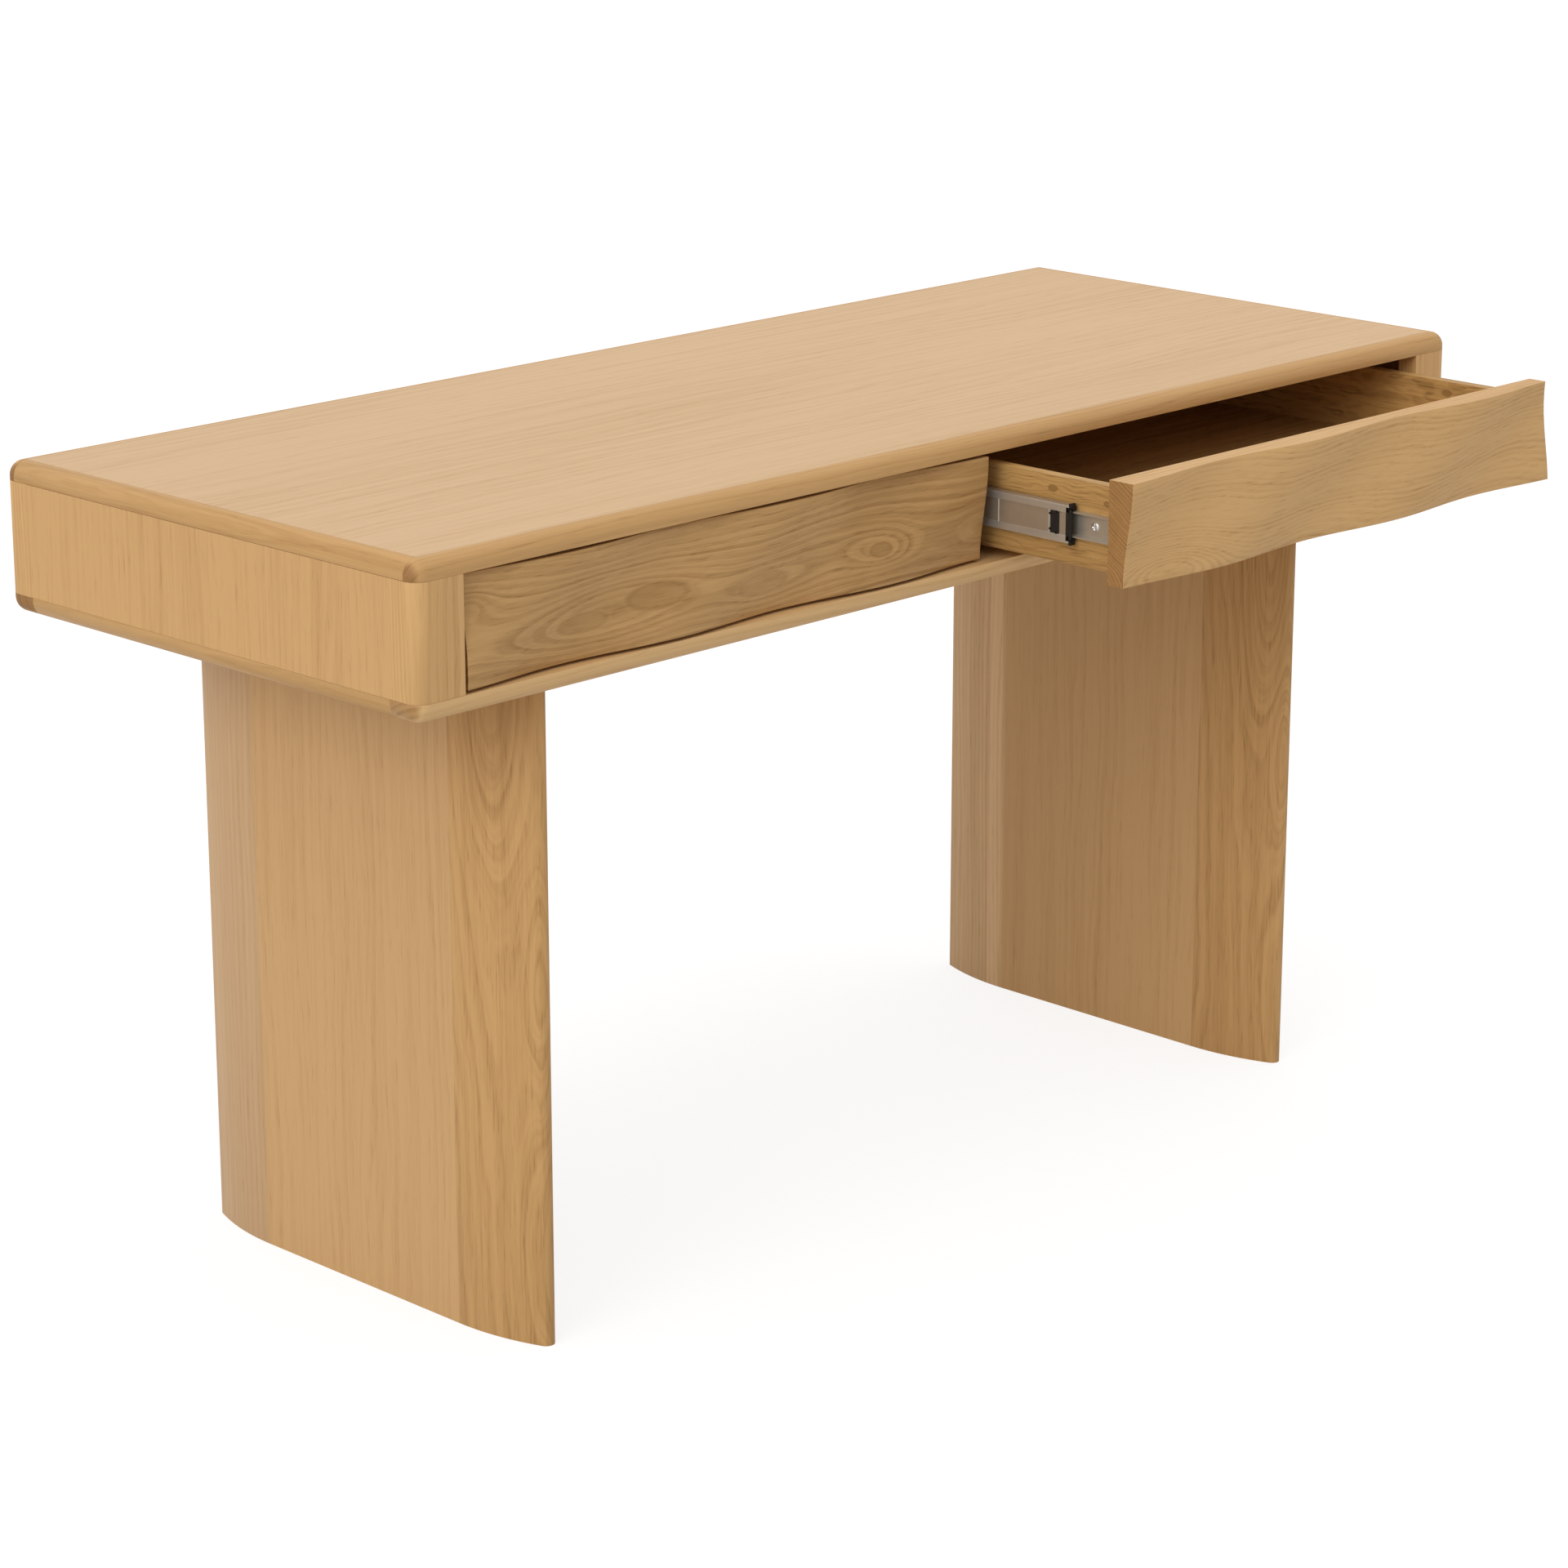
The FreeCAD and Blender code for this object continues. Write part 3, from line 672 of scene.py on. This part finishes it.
@dataclass
class Case(Assembly):
    """The wide flat box that holds the drawers: slabs, ends, lippings and posts."""

    panel: OakCut = OakCut(pale=(0.65, 0.427, 0.23), dark=(0.49, 0.295, 0.136), spacing=0.013, wander=0.07,
                           ripple=0.004, figure=0.17, streak=0.6)
    end: OakCut = OakCut(pale=(0.65, 0.38, 0.155), dark=(0.48, 0.26, 0.096), spacing=0.008, wander=0.05,
                         ripple=0.003, figure=0.17, streak=0.75)
    solid: OakCut = OakCut(pale=(0.58, 0.335, 0.13), dark=(0.41, 0.22, 0.075), spacing=0.005, wander=0.03,
                           figure=0.34)
    post: OakCut = OakCut(pale=(0.68, 0.405, 0.165), dark=(0.49, 0.265, 0.094), spacing=0.004, wander=0.03,
                          figure=0.32)
    rail: OakCut = OakCut(pale=(0.72, 0.455, 0.205), dark=(0.53, 0.31, 0.12), spacing=0.006, wander=0.03,
                          figure=0.3)
    inner: OakCut = OakCut(pale=(0.5, 0.3, 0.13), dark=(0.34, 0.185, 0.07), spacing=0.006, figure=0.35)

    boards: Tuple[Board, ...] = (
        Board("top_panel", panel, Grain.ALONG_X, heart=(-1.1, 0.6), shift=0.3),
        Board("bottom_panel", panel, Grain.ALONG_X, heart=(-1.1, -0.4), shift=1.3),
        Board("back_panel", panel, Grain.ALONG_X, heart=(0.9, -0.4), shift=2.2),
        Board("top_front_lipping", solid, Grain.ALONG_X, heart=(-0.35, 0.69)),
        Board("top_back_lipping", solid, Grain.ALONG_X, heart=(-0.28, 0.72), shift=1.7),
        Board("bottom_front_lipping", rail, Grain.ALONG_X, heart=(-0.21, 0.75), shift=3.4),
        Board("bottom_back_lipping", solid, Grain.ALONG_X, heart=(-0.14, 0.78), shift=5.1),
        Board("top_left_lipping", solid, Grain.ALONG_Y, heart=(0.62, 0.7)),
        Board("top_right_lipping", solid, Grain.ALONG_Y, heart=(0.52, 0.7), shift=2.3),
        Board("bottom_left_lipping", solid, Grain.ALONG_Y, heart=(0.42, 0.7), shift=4.6),
        Board("bottom_right_lipping", solid, Grain.ALONG_Y, heart=(0.32, 0.7), shift=6.9),
        Board("left_end_panel", end, Grain.ALONG_Z, heart=(-0.7, 0.4)),
        Board("right_end_panel", end, Grain.ALONG_Z, heart=(-0.7, -0.6), shift=1.0),
        Board("left_front_post", post, Grain.ALONG_Z, heart=(0.12, 0.5)),
        Board("left_back_post", post, Grain.ALONG_Z, heart=(-0.38, 0.5), shift=1.0),
        Board("right_front_post", post, Grain.ALONG_Z, heart=(0.12, -0.5), shift=1.3),
        Board("right_back_post", post, Grain.ALONG_Z, heart=(-0.38, -0.5), shift=2.3),
        Board("left_slide_packer", inner, Grain.ALONG_Y, shift=2.0),
        Board("right_slide_packer", inner, Grain.ALONG_Y, shift=3.0),
        Board("centre_divider", inner, Grain.ALONG_Y, heart=(0.4, 0.2)),
    )


@dataclass
class Legs(Assembly):
    """The two slab legs, each a straight-grained core between two solid curved edges."""

    core: OakCut = OakCut(pale=(0.625, 0.375, 0.164), dark=(0.475, 0.27, 0.106), spacing=0.012, wander=0.07,
                          ripple=0.003, figure=0.22, streak=0.7)
    front: OakCut = OakCut(pale=(0.615, 0.355, 0.138), dark=(0.4, 0.21, 0.068), spacing=0.0075, wander=0.03,
                           ripple=0.004, taper=-0.03, figure=0.36, streak=0.75)
    back: OakCut = OakCut(pale=(0.615, 0.392, 0.207), dark=(0.477, 0.286, 0.132), spacing=0.0075,
                          wander=0.04, ripple=0.003, figure=0.3, streak=0.6)
    pale_back: OakCut = replace(back, pale=(0.82, 0.53, 0.28), dark=(0.53, 0.325, 0.15))

    left_flames: Tuple[Hill, ...] = (
        Hill(0.620, -0.182, 0.150, 0.030, -5.0, 0.12),
        Hill(0.330, -0.236, 0.090, 0.022, 2.2),
        Hill(0.080, -0.238, 0.140, 0.034, -3.2, 0.14),
    )
    right_flames: Tuple[Hill, ...] = (
        Hill(0.600, -0.212, 0.170, 0.019, -7.0, 0.1),
        Hill(0.340, -0.236, 0.080, 0.020, 2.4),
        Hill(0.060, -0.236, 0.130, 0.030, -3.0),
    )
    stripe: Tuple[Hill, ...] = (
        Hill(0.310, 0.190, 3.000, 0.200, 0.0, 0.3),
        Hill(0.310, 0.149, 3.000, 0.010, 0.0, -0.45),
    )

    boards: Tuple[Board, ...] = (
        Board("left_leg_core", core, Grain.ALONG_Z, heart=(-0.62, 0.45)),
        Board("left_leg_front_edge", front, Grain.ALONG_Z, heart=(-0.19, 0.455), hills=left_flames),
        Board("left_leg_back_edge", back, Grain.ALONG_Z, heart=(0.4, 0.455), shift=1.9),
        Board("right_leg_core", core, Grain.ALONG_Z, heart=(-0.62, -0.55), shift=3.0),
        Board("right_leg_front_edge", front, Grain.ALONG_Z, heart=(-0.19, -0.585), shift=0.7,
              hills=right_flames),
        Board("right_leg_back_edge", pale_back, Grain.ALONG_Z, heart=(0.4, -0.585), shift=2.6,
              hills=stripe),
    )


@dataclass
class Drawers(Assembly):
    """Both drawers: the wavy fronts and their boxes."""

    figured: OakCut = OakCut(pale=(0.56, 0.325, 0.125), dark=(0.33, 0.17, 0.052), spacing=0.0068,
                             wander=0.014, ripple=0.004, figure=0.5, streak=0.55)
    plain: OakCut = OakCut(pale=(0.635, 0.38, 0.154), dark=(0.4, 0.215, 0.068), spacing=0.0038, wander=0.02,
                           ripple=0.0045, figure=0.3, streak=0.6)
    box: OakCut = OakCut(pale=(0.53, 0.305, 0.104), dark=(0.28, 0.145, 0.042), spacing=0.0028, wander=0.05,
                         ripple=0.018, figure=0.34, streak=1.2)
    base: OakCut = replace(box, figure=0.35)

    ovals: Tuple[Hill, ...] = (
        Hill(-0.470, 0.6765, 0.110, 0.0270, -2.4),
        Hill(-0.506, 0.6725, 0.033, 0.0095, 0.0, 0.42, 0.9),
        Hill(-0.420, 0.6816, 0.037, 0.0120, 0.0, 0.58, 0.9),
        Hill(-0.293, 0.6695, 0.060, 0.0190, -1.7),
        Hill(-0.293, 0.6695, 0.036, 0.0110, 0.0, 0.34, 0.8),
        Hill(-0.142, 0.6746, 0.034, 0.0150, -2.9),
        Hill(-0.142, 0.6746, 0.014, 0.0070, 0.0, 0.5, 0.7),
        Hill(-0.430, 0.7250, 0.110, 0.0200, 1.4),
        Hill(-0.636, 0.7130, 0.022, 0.0120, -2.0, 0.12),
        Hill(-0.030, 0.6900, 0.170, 0.2000, 0.0, 0.2),
    )
    arches: Tuple[Hill, ...] = (
        Hill(0.075, 0.6500, 0.070, 0.0210, -7.0, 0.06),
        Hill(0.330, 0.6900, 0.150, 0.0300, 1.2),
    )
    knots: Tuple[Hill, ...] = (
        Hill(-0.338, 0.7150, 0.006, 0.0032, -1.5, 0.8, 0.8),
        Hill(-0.404, 0.7100, 0.005, 0.0028, -1.0, 0.7, 0.8),
    )

    boards: Tuple[Board, ...] = (
        Board("left_drawer_front", figured, Grain.ALONG_X, heart=(-0.252, 0.676), hills=ovals),
        Board("right_drawer_front", plain, Grain.ALONG_X, heart=(-0.33, 0.56), shift=4.0, hills=arches),
        Board("left_drawer_left_side", box, Grain.ALONG_Y, heart=(0.0, 0.62), hills=knots),
        Board("left_drawer_right_side", box, Grain.ALONG_Y, heart=(0.3, 0.62), shift=1.5, hills=knots),
        Board("left_drawer_back", box, Grain.ALONG_X, shift=3.1),
        Board("left_drawer_bottom", base, Grain.ALONG_X, shift=5.0),
        Board("right_drawer_left_side", box, Grain.ALONG_Y, heart=(0.0, 0.62), shift=1.0, hills=knots),
        Board("right_drawer_right_side", box, Grain.ALONG_Y, heart=(0.3, 0.62), shift=2.5, hills=knots),
        Board("right_drawer_back", box, Grain.ALONG_X, shift=4.1),
        Board("right_drawer_bottom", base, Grain.ALONG_X, shift=6.0),
    )


class Shape:
    """A mesh in the making, in metres, in the desk's own frame."""

    ACROSS = (1.0, 0.0, 0.0)
    ROUND_STEPS = 24
    SAME_PLACE = 1e-7
    HEAD_SHARES = ((0.0, 0.0), (0.0, 1.0), (0.45, 1.0), (0.8, 0.82), (1.0, 0.55), (0.45, 0.12), (0.4, 0.0))
    RECESS_WAIST_SHARE = 0.5
    RECESS_ARM_SHARE = 0.7
    RECESS_SHARPNESS = 3

    def __init__(self) -> None:
        """Starts with nothing."""
        self.mesh = bmesh.new()

    def block(self, low: Triple, high: Triple, ease: float, steps: int = 2) -> None:
        """Adds a block with eased edges.

        Args:
            low: one corner.
            high: the opposite corner, in any order along each way.
            ease: how far its edges are rounded.
            steps: the number of faces across each rounding.
        """
        first, last = Vector(low), Vector(high)
        span = Vector(abs(part) for part in last - first)
        place = Matrix.Translation((first + last) / 2) @ Matrix.Diagonal((*span, 1.0))
        corners = bmesh.ops.create_cube(self.mesh, size=1.0, matrix=place)["verts"]
        edges = list({edge for corner in corners for edge in corner.link_edges})
        bmesh.ops.bevel(self.mesh, geom=edges, offset=ease, offset_type="OFFSET", segments=steps,
                        profile=0.5, affect="EDGES", material=-1)

    def _turn(self, middle: Vector, points: Sequence[Vector], closed: bool) -> None:
        """Turns a line of points about X.

        Args:
            middle: a point of the axis.
            points: the line's points, in order.
            closed: whether the last point joins the first.
        """
        corners = [self.mesh.verts.new(point) for point in points]
        edges = [self.mesh.edges.new(pair) for pair in zip(corners, corners[1:])]
        if closed:
            edges.append(self.mesh.edges.new((corners[-1], corners[0])))
        bmesh.ops.spin(self.mesh, geom=corners + edges, cent=middle, axis=self.ACROSS, angle=2 * math.pi,
                       steps=self.ROUND_STEPS, use_merge=True)

    def ring(self, centre: Triple, radius: float, wire: float) -> None:
        """Adds a raised ring that lies in the plane of the desk's depth and height.

        Args:
            centre: the ring's middle.
            radius: from the middle to the top of the raised wire.
            wire: the wire's half width and its height, against X where it is negative.
        """
        middle = Vector(centre)
        section = ((0.0, wire), (wire, wire / 2), (wire, -wire / 2), (0.0, -wire))
        self._turn(middle, [middle + Vector((out, 0.0, radius + aside)) for out, aside in section], True)

    def pan_head(self, seat: Triple, radius: float, height: float) -> None:
        """Adds a domed screw head with a cross recess, turned about X.

        Args:
            seat: the middle of the head's flat side.
            radius: the head's radius.
            height: how far it stands off its seat, against X where it is negative.
        """
        middle = Vector(seat)
        points = [middle + Vector((height * out, 0.0, radius * wide)) for out, wide in self.HEAD_SHARES]
        self._turn(middle, points, False)
        bmesh.ops.remove_doubles(self.mesh, verts=self.mesh.verts, dist=self.SAME_PLACE)
        for corner in self.mesh.verts:
            arm = corner.co - middle
            if arm.length < radius and abs(arm.x - height) < self.SAME_PLACE:
                reach = abs(math.cos(2 * math.atan2(arm.z, arm.y))) ** self.RECESS_SHARPNESS
                wide = self.RECESS_WAIST_SHARE + self.RECESS_ARM_SHARE * reach
                bmesh.ops.scale(self.mesh, vec=(1.0, wide, wide), verts=[corner],
                                space=Matrix.Translation(-middle))

    def finish(self, name: str, body: str, material: bpy.types.Material) -> None:
        """Makes the object and lets it ride.

        Args:
            name: the piece's name.
            body: the CAD body that it moves with.
            material: its finish.
        """
        bmesh.ops.recalc_face_normals(self.mesh, faces=self.mesh.faces)
        made = bpy.data.meshes.new(name)
        self.mesh.to_mesh(made)
        self.mesh.free()
        made.materials.append(material)
        piece = bpy.data.objects.new(name, made)
        bpy.context.scene.collection.objects.link(piece)
        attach(piece, body)
        LOG.info("%s rides on %s", name, body)


@dataclass
class Slides:
    """The ball-bearing drawer slides, with the pressings and clips of their members, and the fasteners."""

    zinc: MetalFinish = MetalFinish("zinc_plate", (0.53, 0.45, 0.35), (0.42, 0.355, 0.275), 0.34, 0.75)
    passivated: MetalFinish = MetalFinish("passivated_zinc", (0.66, 0.59, 0.48), (0.5, 0.47, 0.41), 0.3, 0.8)
    bright: MetalFinish = MetalFinish("bright_zinc", (0.7, 0.69, 0.67), (0.55, 0.54, 0.53), 0.2)
    steel: MetalFinish = MetalFinish("bolt_steel", (0.3, 0.3, 0.31), (0.2, 0.2, 0.2), 0.35)
    # A plating lighter than the web's zinc: painted highlight where the rolled ribs and the panel's frame
    # catch the light.
    rib_highlight: MetalFinish = MetalFinish("rib_highlight_zinc", (0.66, 0.63, 0.57), (0.54, 0.51, 0.46), 0.28, 0.75)
    plastic: PlasticFinish = PlasticFinish("black_moulding", (0.014, 0.011, 0.009),
                                           (0.026, 0.019, 0.015), 0.5)

    proud: float = 0.0007
    rib_height: float = 0.0068
    rib_ease: float = 0.0004
    rib_steps: int = 3
    panel_length: float = 0.062
    panel_start: float = 0.0245
    lip_width: float = 0.0011
    lip_ease: float = 0.0002
    strap_behind: float = 0.0045
    strap_ahead: float = 0.002
    strap_depth: float = 0.0013
    strap_half: float = 0.016
    hook_depth: float = 0.0063
    hook_reach: float = 0.0195
    window_start: float = 0.0125
    window_length: float = 0.0105
    window_half: float = 0.0105
    tooth: float = 0.0022
    fold: float = 0.0009
    fold_depth: float = 0.0036
    fold_ease: float = 0.000225
    dimple_setback: float = 0.0115
    dimple_radius: float = 0.0016
    dimple_wire: float = 0.0004
    screw_inset: float = 0.028
    head_radius: float = 0.0042
    head_height: float = 0.0017

    def dress(self, dresser: Dresser) -> None:
        """Dresses the slides, their screws and the leg bolts, and adds the small parts.

        Args:
            dresser: what puts the finishes on.
        """
        zinc, passivated, bright = (kind.material() for kind in (self.zinc, self.passivated, self.bright))
        steel, rib_highlight, plastic = (kind.material() for kind in (self.steel, self.rib_highlight, self.plastic))
        for side in Side:
            drawer = f"{side.value}_drawer"
            for wall in Side:
                for member, plating in (("runner", zinc), ("middle", zinc), ("bar", passivated)):
                    dresser.paint(f"{drawer}_{wall.value}_{member}", plating)
                # The ribs take the lighter plating, a painted highlight.
                self._pressings(side, wall, rib_highlight)
                self._clips(side, wall, plastic)
                self._bar_front(side, wall, bright)
            for name in ("outer_ball_cages", "inner_ball_cages"):
                dresser.paint(f"{side.value}_{name}", zinc)
            dresser.paint(f"{drawer}_screws", bright)
            dresser.paint(f"{side.value}_slide_bumpers", plastic)
        dresser.paint("runner_screws", bright)
        dresser.paint("leg_bolts", steel)
        dresser.paint("leg_inserts", steel)

    @staticmethod
    def _web(node: str, wall: Side, near: bool) -> Tuple[float, float, float, float]:
        """Where a member's flat side is.

        Args:
            node: the member's node.
            wall: the drawer's side that it is on.
            near: whether the flat side is the one next to the case.

        Returns:
            The flat side's place along X, the way from there towards the drawer, the member's front
            end and its mid level.
        """
        low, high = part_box(node)
        inward = 1.0 if wall is Side.LEFT else -1.0
        face = low.x if (inward > 0.0) == near else high.x
        return face, inward, low.y, (low.z + high.z) / 2

    def _pressings(self, side: Side, wall: Side, zinc: bpy.types.Material) -> None:
        """Adds the raised ribs and the frame of the pressed panel to a middle member.

        Args:
            side: the drawer's side of the desk.
            wall: the drawer's wall that the slide is on.
            zinc: their finish, a plating lighter than the web's, which paints highlights on the ribs.
        """
        node = f"{side.value}_drawer_{wall.value}_middle"
        face, inward, front, level = self._web(node, wall, True)
        low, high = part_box(node)
        shape = Shape()
        out, sunk = face - inward * self.proud, face + inward * self.proud
        for up in (1.0, -1.0):
            edge = level + up * (high.z - low.z) / 2
            shape.block((out, low.y, edge), (sunk, high.y, edge - up * self.rib_height), self.rib_ease,
                        self.rib_steps)
        start = front + self.panel_start
        half = (high.z - low.z) / 2 - self.rib_height
        for place in (start, start + self.panel_length):
            shape.block((out, place, level - half),
                        (sunk, place + self.lip_width, level + half), self.lip_ease)
        shape.finish(f"{node}_pressings", f"{side.value}_slide_middles", zinc)

    def _clips(self, side: Side, wall: Side, plastic: bpy.types.Material) -> None:
        """Adds the black strap with hooks at a middle member's front end, and the clip in its window.

        Args:
            side: the drawer's side of the desk.
            wall: the drawer's wall that the slide is on.
            plastic: their finish.
        """
        node = f"{side.value}_drawer_{wall.value}_middle"
        face, inward, front, level = self._web(node, wall, True)
        shape = Shape()
        out = face - inward * self.proud
        inner = face + inward * self.strap_depth
        deep = face + inward * self.hook_depth
        ease = self.rib_ease
        shape.block((out, front - self.strap_ahead, level - self.strap_half),
                    (inner, front + self.strap_behind, level + self.strap_half), ease)
        begin, end = front + self.window_start, front + self.window_start + self.window_length
        shape.block((out, begin, level - self.window_half), (inner, end, level + self.window_half), ease)
        for up in (1.0, -1.0):
            hook = level + up * self.strap_half
            shape.block((out, front - self.strap_ahead, hook - up * self.tooth),
                        (deep, front + self.tooth / 2, level + up * self.hook_reach), ease)
            brow = level + up * self.window_half
            shape.block((out, begin + self.tooth, brow - up * self.tooth),
                        (face, begin + 2 * self.tooth, brow + up * self.tooth / 2), ease)
            shape.block((out, end - self.tooth, brow - up * 2 * self.tooth),
                        (face, end + self.tooth, brow - up * self.tooth), ease)
        shape.finish(f"{node}_clips", f"{side.value}_slide_middles", plastic)

    def _bar_front(self, side: Side, wall: Side, bright: bpy.types.Material) -> None:
        """Adds the folded front end, the punched ring and the screws' domed heads to a drawer's bar.

        Args:
            side: the drawer's side of the desk.
            wall: the drawer's wall that the slide is on.
            bright: their finish.
        """
        node = f"{side.value}_drawer_{wall.value}_bar"
        face, inward, front, level = self._web(node, wall, False)
        low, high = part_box(node)
        half = (high.z - low.z) / 2
        shape = Shape()
        web = face - inward * self.lip_width
        shape.block((web - inward * self.fold_depth, front, level - half + self.tooth),
                    (web, front + self.fold, level + half - self.tooth), self.fold_ease)
        shape.ring((web, front + self.dimple_setback, level), self.dimple_radius, -inward * self.dimple_wire)
        shape.finish(f"{node}_front", f"{side.value}_drawer", bright)
        heads = Shape()
        for place in (low.y + self.screw_inset, (low.y + high.y) / 2, high.y - self.screw_inset):
            heads.pan_head((web, place, level), self.head_radius, -inward * self.head_height)
        heads.finish(f"{node}_screw_heads", f"{side.value}_drawer", bright)


@dataclass
class Studio:
    """The pale floor, the light and the camera at the photograph's viewing angle."""

    camera_place: Triple = (-3.054, -3.014, 1.639)
    yaw: float = 45.51
    pitch: float = 16.52
    lens: float = 104.36
    sensor: float = 36.0
    sight: float = 100.0
    horizon: float = 0.31
    zenith: float = 0.92
    key: float = 0.95
    key_from: Triple = (-0.87, -0.2, 0.44)
    key_spread: float = 35.0
    key_tint: Colour = (1.0, 0.985, 0.96)
    floor_half: float = 30.0
    floor_bounce: float = 0.62
    floor_shade: float = 0.26
    floor_glow: float = 0.8

    def light(self) -> None:
        """Makes a white room that lights the desk softly, and one broad lamp at the upper left."""
        scene = bpy.context.scene
        scene.view_settings.view_transform = "Standard"
        world = bpy.data.worlds.new("studio")
        world.use_nodes = True
        scene.world = world
        g = Graph(world.node_tree)
        glow = world.node_tree.nodes["Background"]
        g.feed(glow.inputs["Color"], grey(1.0))
        height = g.math("MAXIMUM", g.split(g.node("ShaderNodeTexCoord").outputs["Generated"])[2], 0.0)
        sky = g.math("MULTIPLY_ADD", height, self.zenith, self.horizon)
        lacking = g.math("SUBTRACT", 1.0, sky)
        g.feed(glow.inputs["Strength"], g.math("MULTIPLY_ADD", self._seen(g), lacking, sky))
        lamp = bpy.data.lights.new("key", "SUN")
        lamp.energy = self.key
        lamp.angle = math.radians(self.key_spread)
        lamp.color = self.key_tint
        holder = bpy.data.objects.new("key", lamp)
        holder.rotation_euler = Vector(self.key_from).to_track_quat("Z", "Y").to_euler()
        scene.collection.objects.link(holder)
        LOG.info("light is set")

    @staticmethod
    def _seen(g: Graph) -> Socket:
        """Tells the rays that show a thing from those that only light it.

        Args:
            g: the graph that the nodes go into.

        Returns:
            1 for a ray that the camera, a gloss or a glass sends out, and 0 for the rest.
        """
        path = g.node("ShaderNodeLightPath").outputs
        mirrored = g.math("MAXIMUM", path["Is Glossy Ray"], path["Is Transmission Ray"])
        return g.math("MAXIMUM", path["Is Camera Ray"], mirrored)

    def floor(self) -> None:
        """Lays a plain pale floor that shows white and keeps the desk's shadow."""
        shape = bmesh.new()
        bmesh.ops.create_grid(shape, x_segments=1, y_segments=1, size=self.floor_half)
        mesh = bpy.data.meshes.new("floor")
        shape.to_mesh(mesh)
        shape.free()
        ground = bpy.data.objects.new("floor", mesh)
        bpy.context.scene.collection.objects.link(ground)
        mesh.materials.append(self._floor_finish())
        LOG.info("floor is laid")

    def _floor_finish(self) -> bpy.types.Material:
        """Makes the floor's material, which shows white and throws a softer light back.

        Returns:
            The material.
        """
        pale = bpy.data.materials.new("pale_floor")
        pale.use_nodes = True
        g = Graph(pale.node_tree)
        g.tree.nodes.remove(g.tree.nodes["Principled BSDF"])
        lit = g.node("ShaderNodeBsdfDiffuse")
        g.feed(lit.inputs["Color"], grey(self.floor_bounce))
        shown = g.node("ShaderNodeBsdfDiffuse")
        g.feed(shown.inputs["Color"], grey(self.floor_shade))
        white = g.node("ShaderNodeEmission")
        g.feed(white.inputs["Color"], grey(self.floor_glow))
        both = g.node("ShaderNodeAddShader")
        g.feed(both.inputs[0], shown.outputs[0])
        g.feed(both.inputs[1], white.outputs[0])
        mixed = g.node("ShaderNodeMixShader")
        for place, value in enumerate((self._seen(g), lit.outputs[0], both.outputs[0])):
            g.feed(mixed.inputs[place], value)
        g.feed(g.tree.nodes["Material Output"].inputs["Surface"], mixed.outputs[0])
        return pale

    def camera(self) -> None:
        """Sets the camera up where the photograph was taken from."""
        lens = bpy.data.cameras.new("camera")
        lens.sensor_width = self.sensor
        lens.lens = self.lens
        lens.clip_end = self.sight
        holder = bpy.data.objects.new("camera", lens)
        holder.location = self.camera_place
        holder.rotation_euler = (math.radians(90.0 - self.pitch), 0.0, -math.radians(self.yaw))
        bpy.context.scene.collection.objects.link(holder)
        bpy.context.scene.camera = holder
        LOG.info("camera is set")


def main() -> None:
    """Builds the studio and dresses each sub-assembly in order."""
    logging.basicConfig(level=logging.INFO, format="%(name)s: %(message)s")
    studio = Studio()
    studio.camera()
    studio.light()
    studio.floor()
    dresser = Dresser(OakFinish())
    for assembly in (Case(), Legs(), Drawers(), Slides()):
        assembly.dress(dresser)


if __name__ == "__main__":
    main()
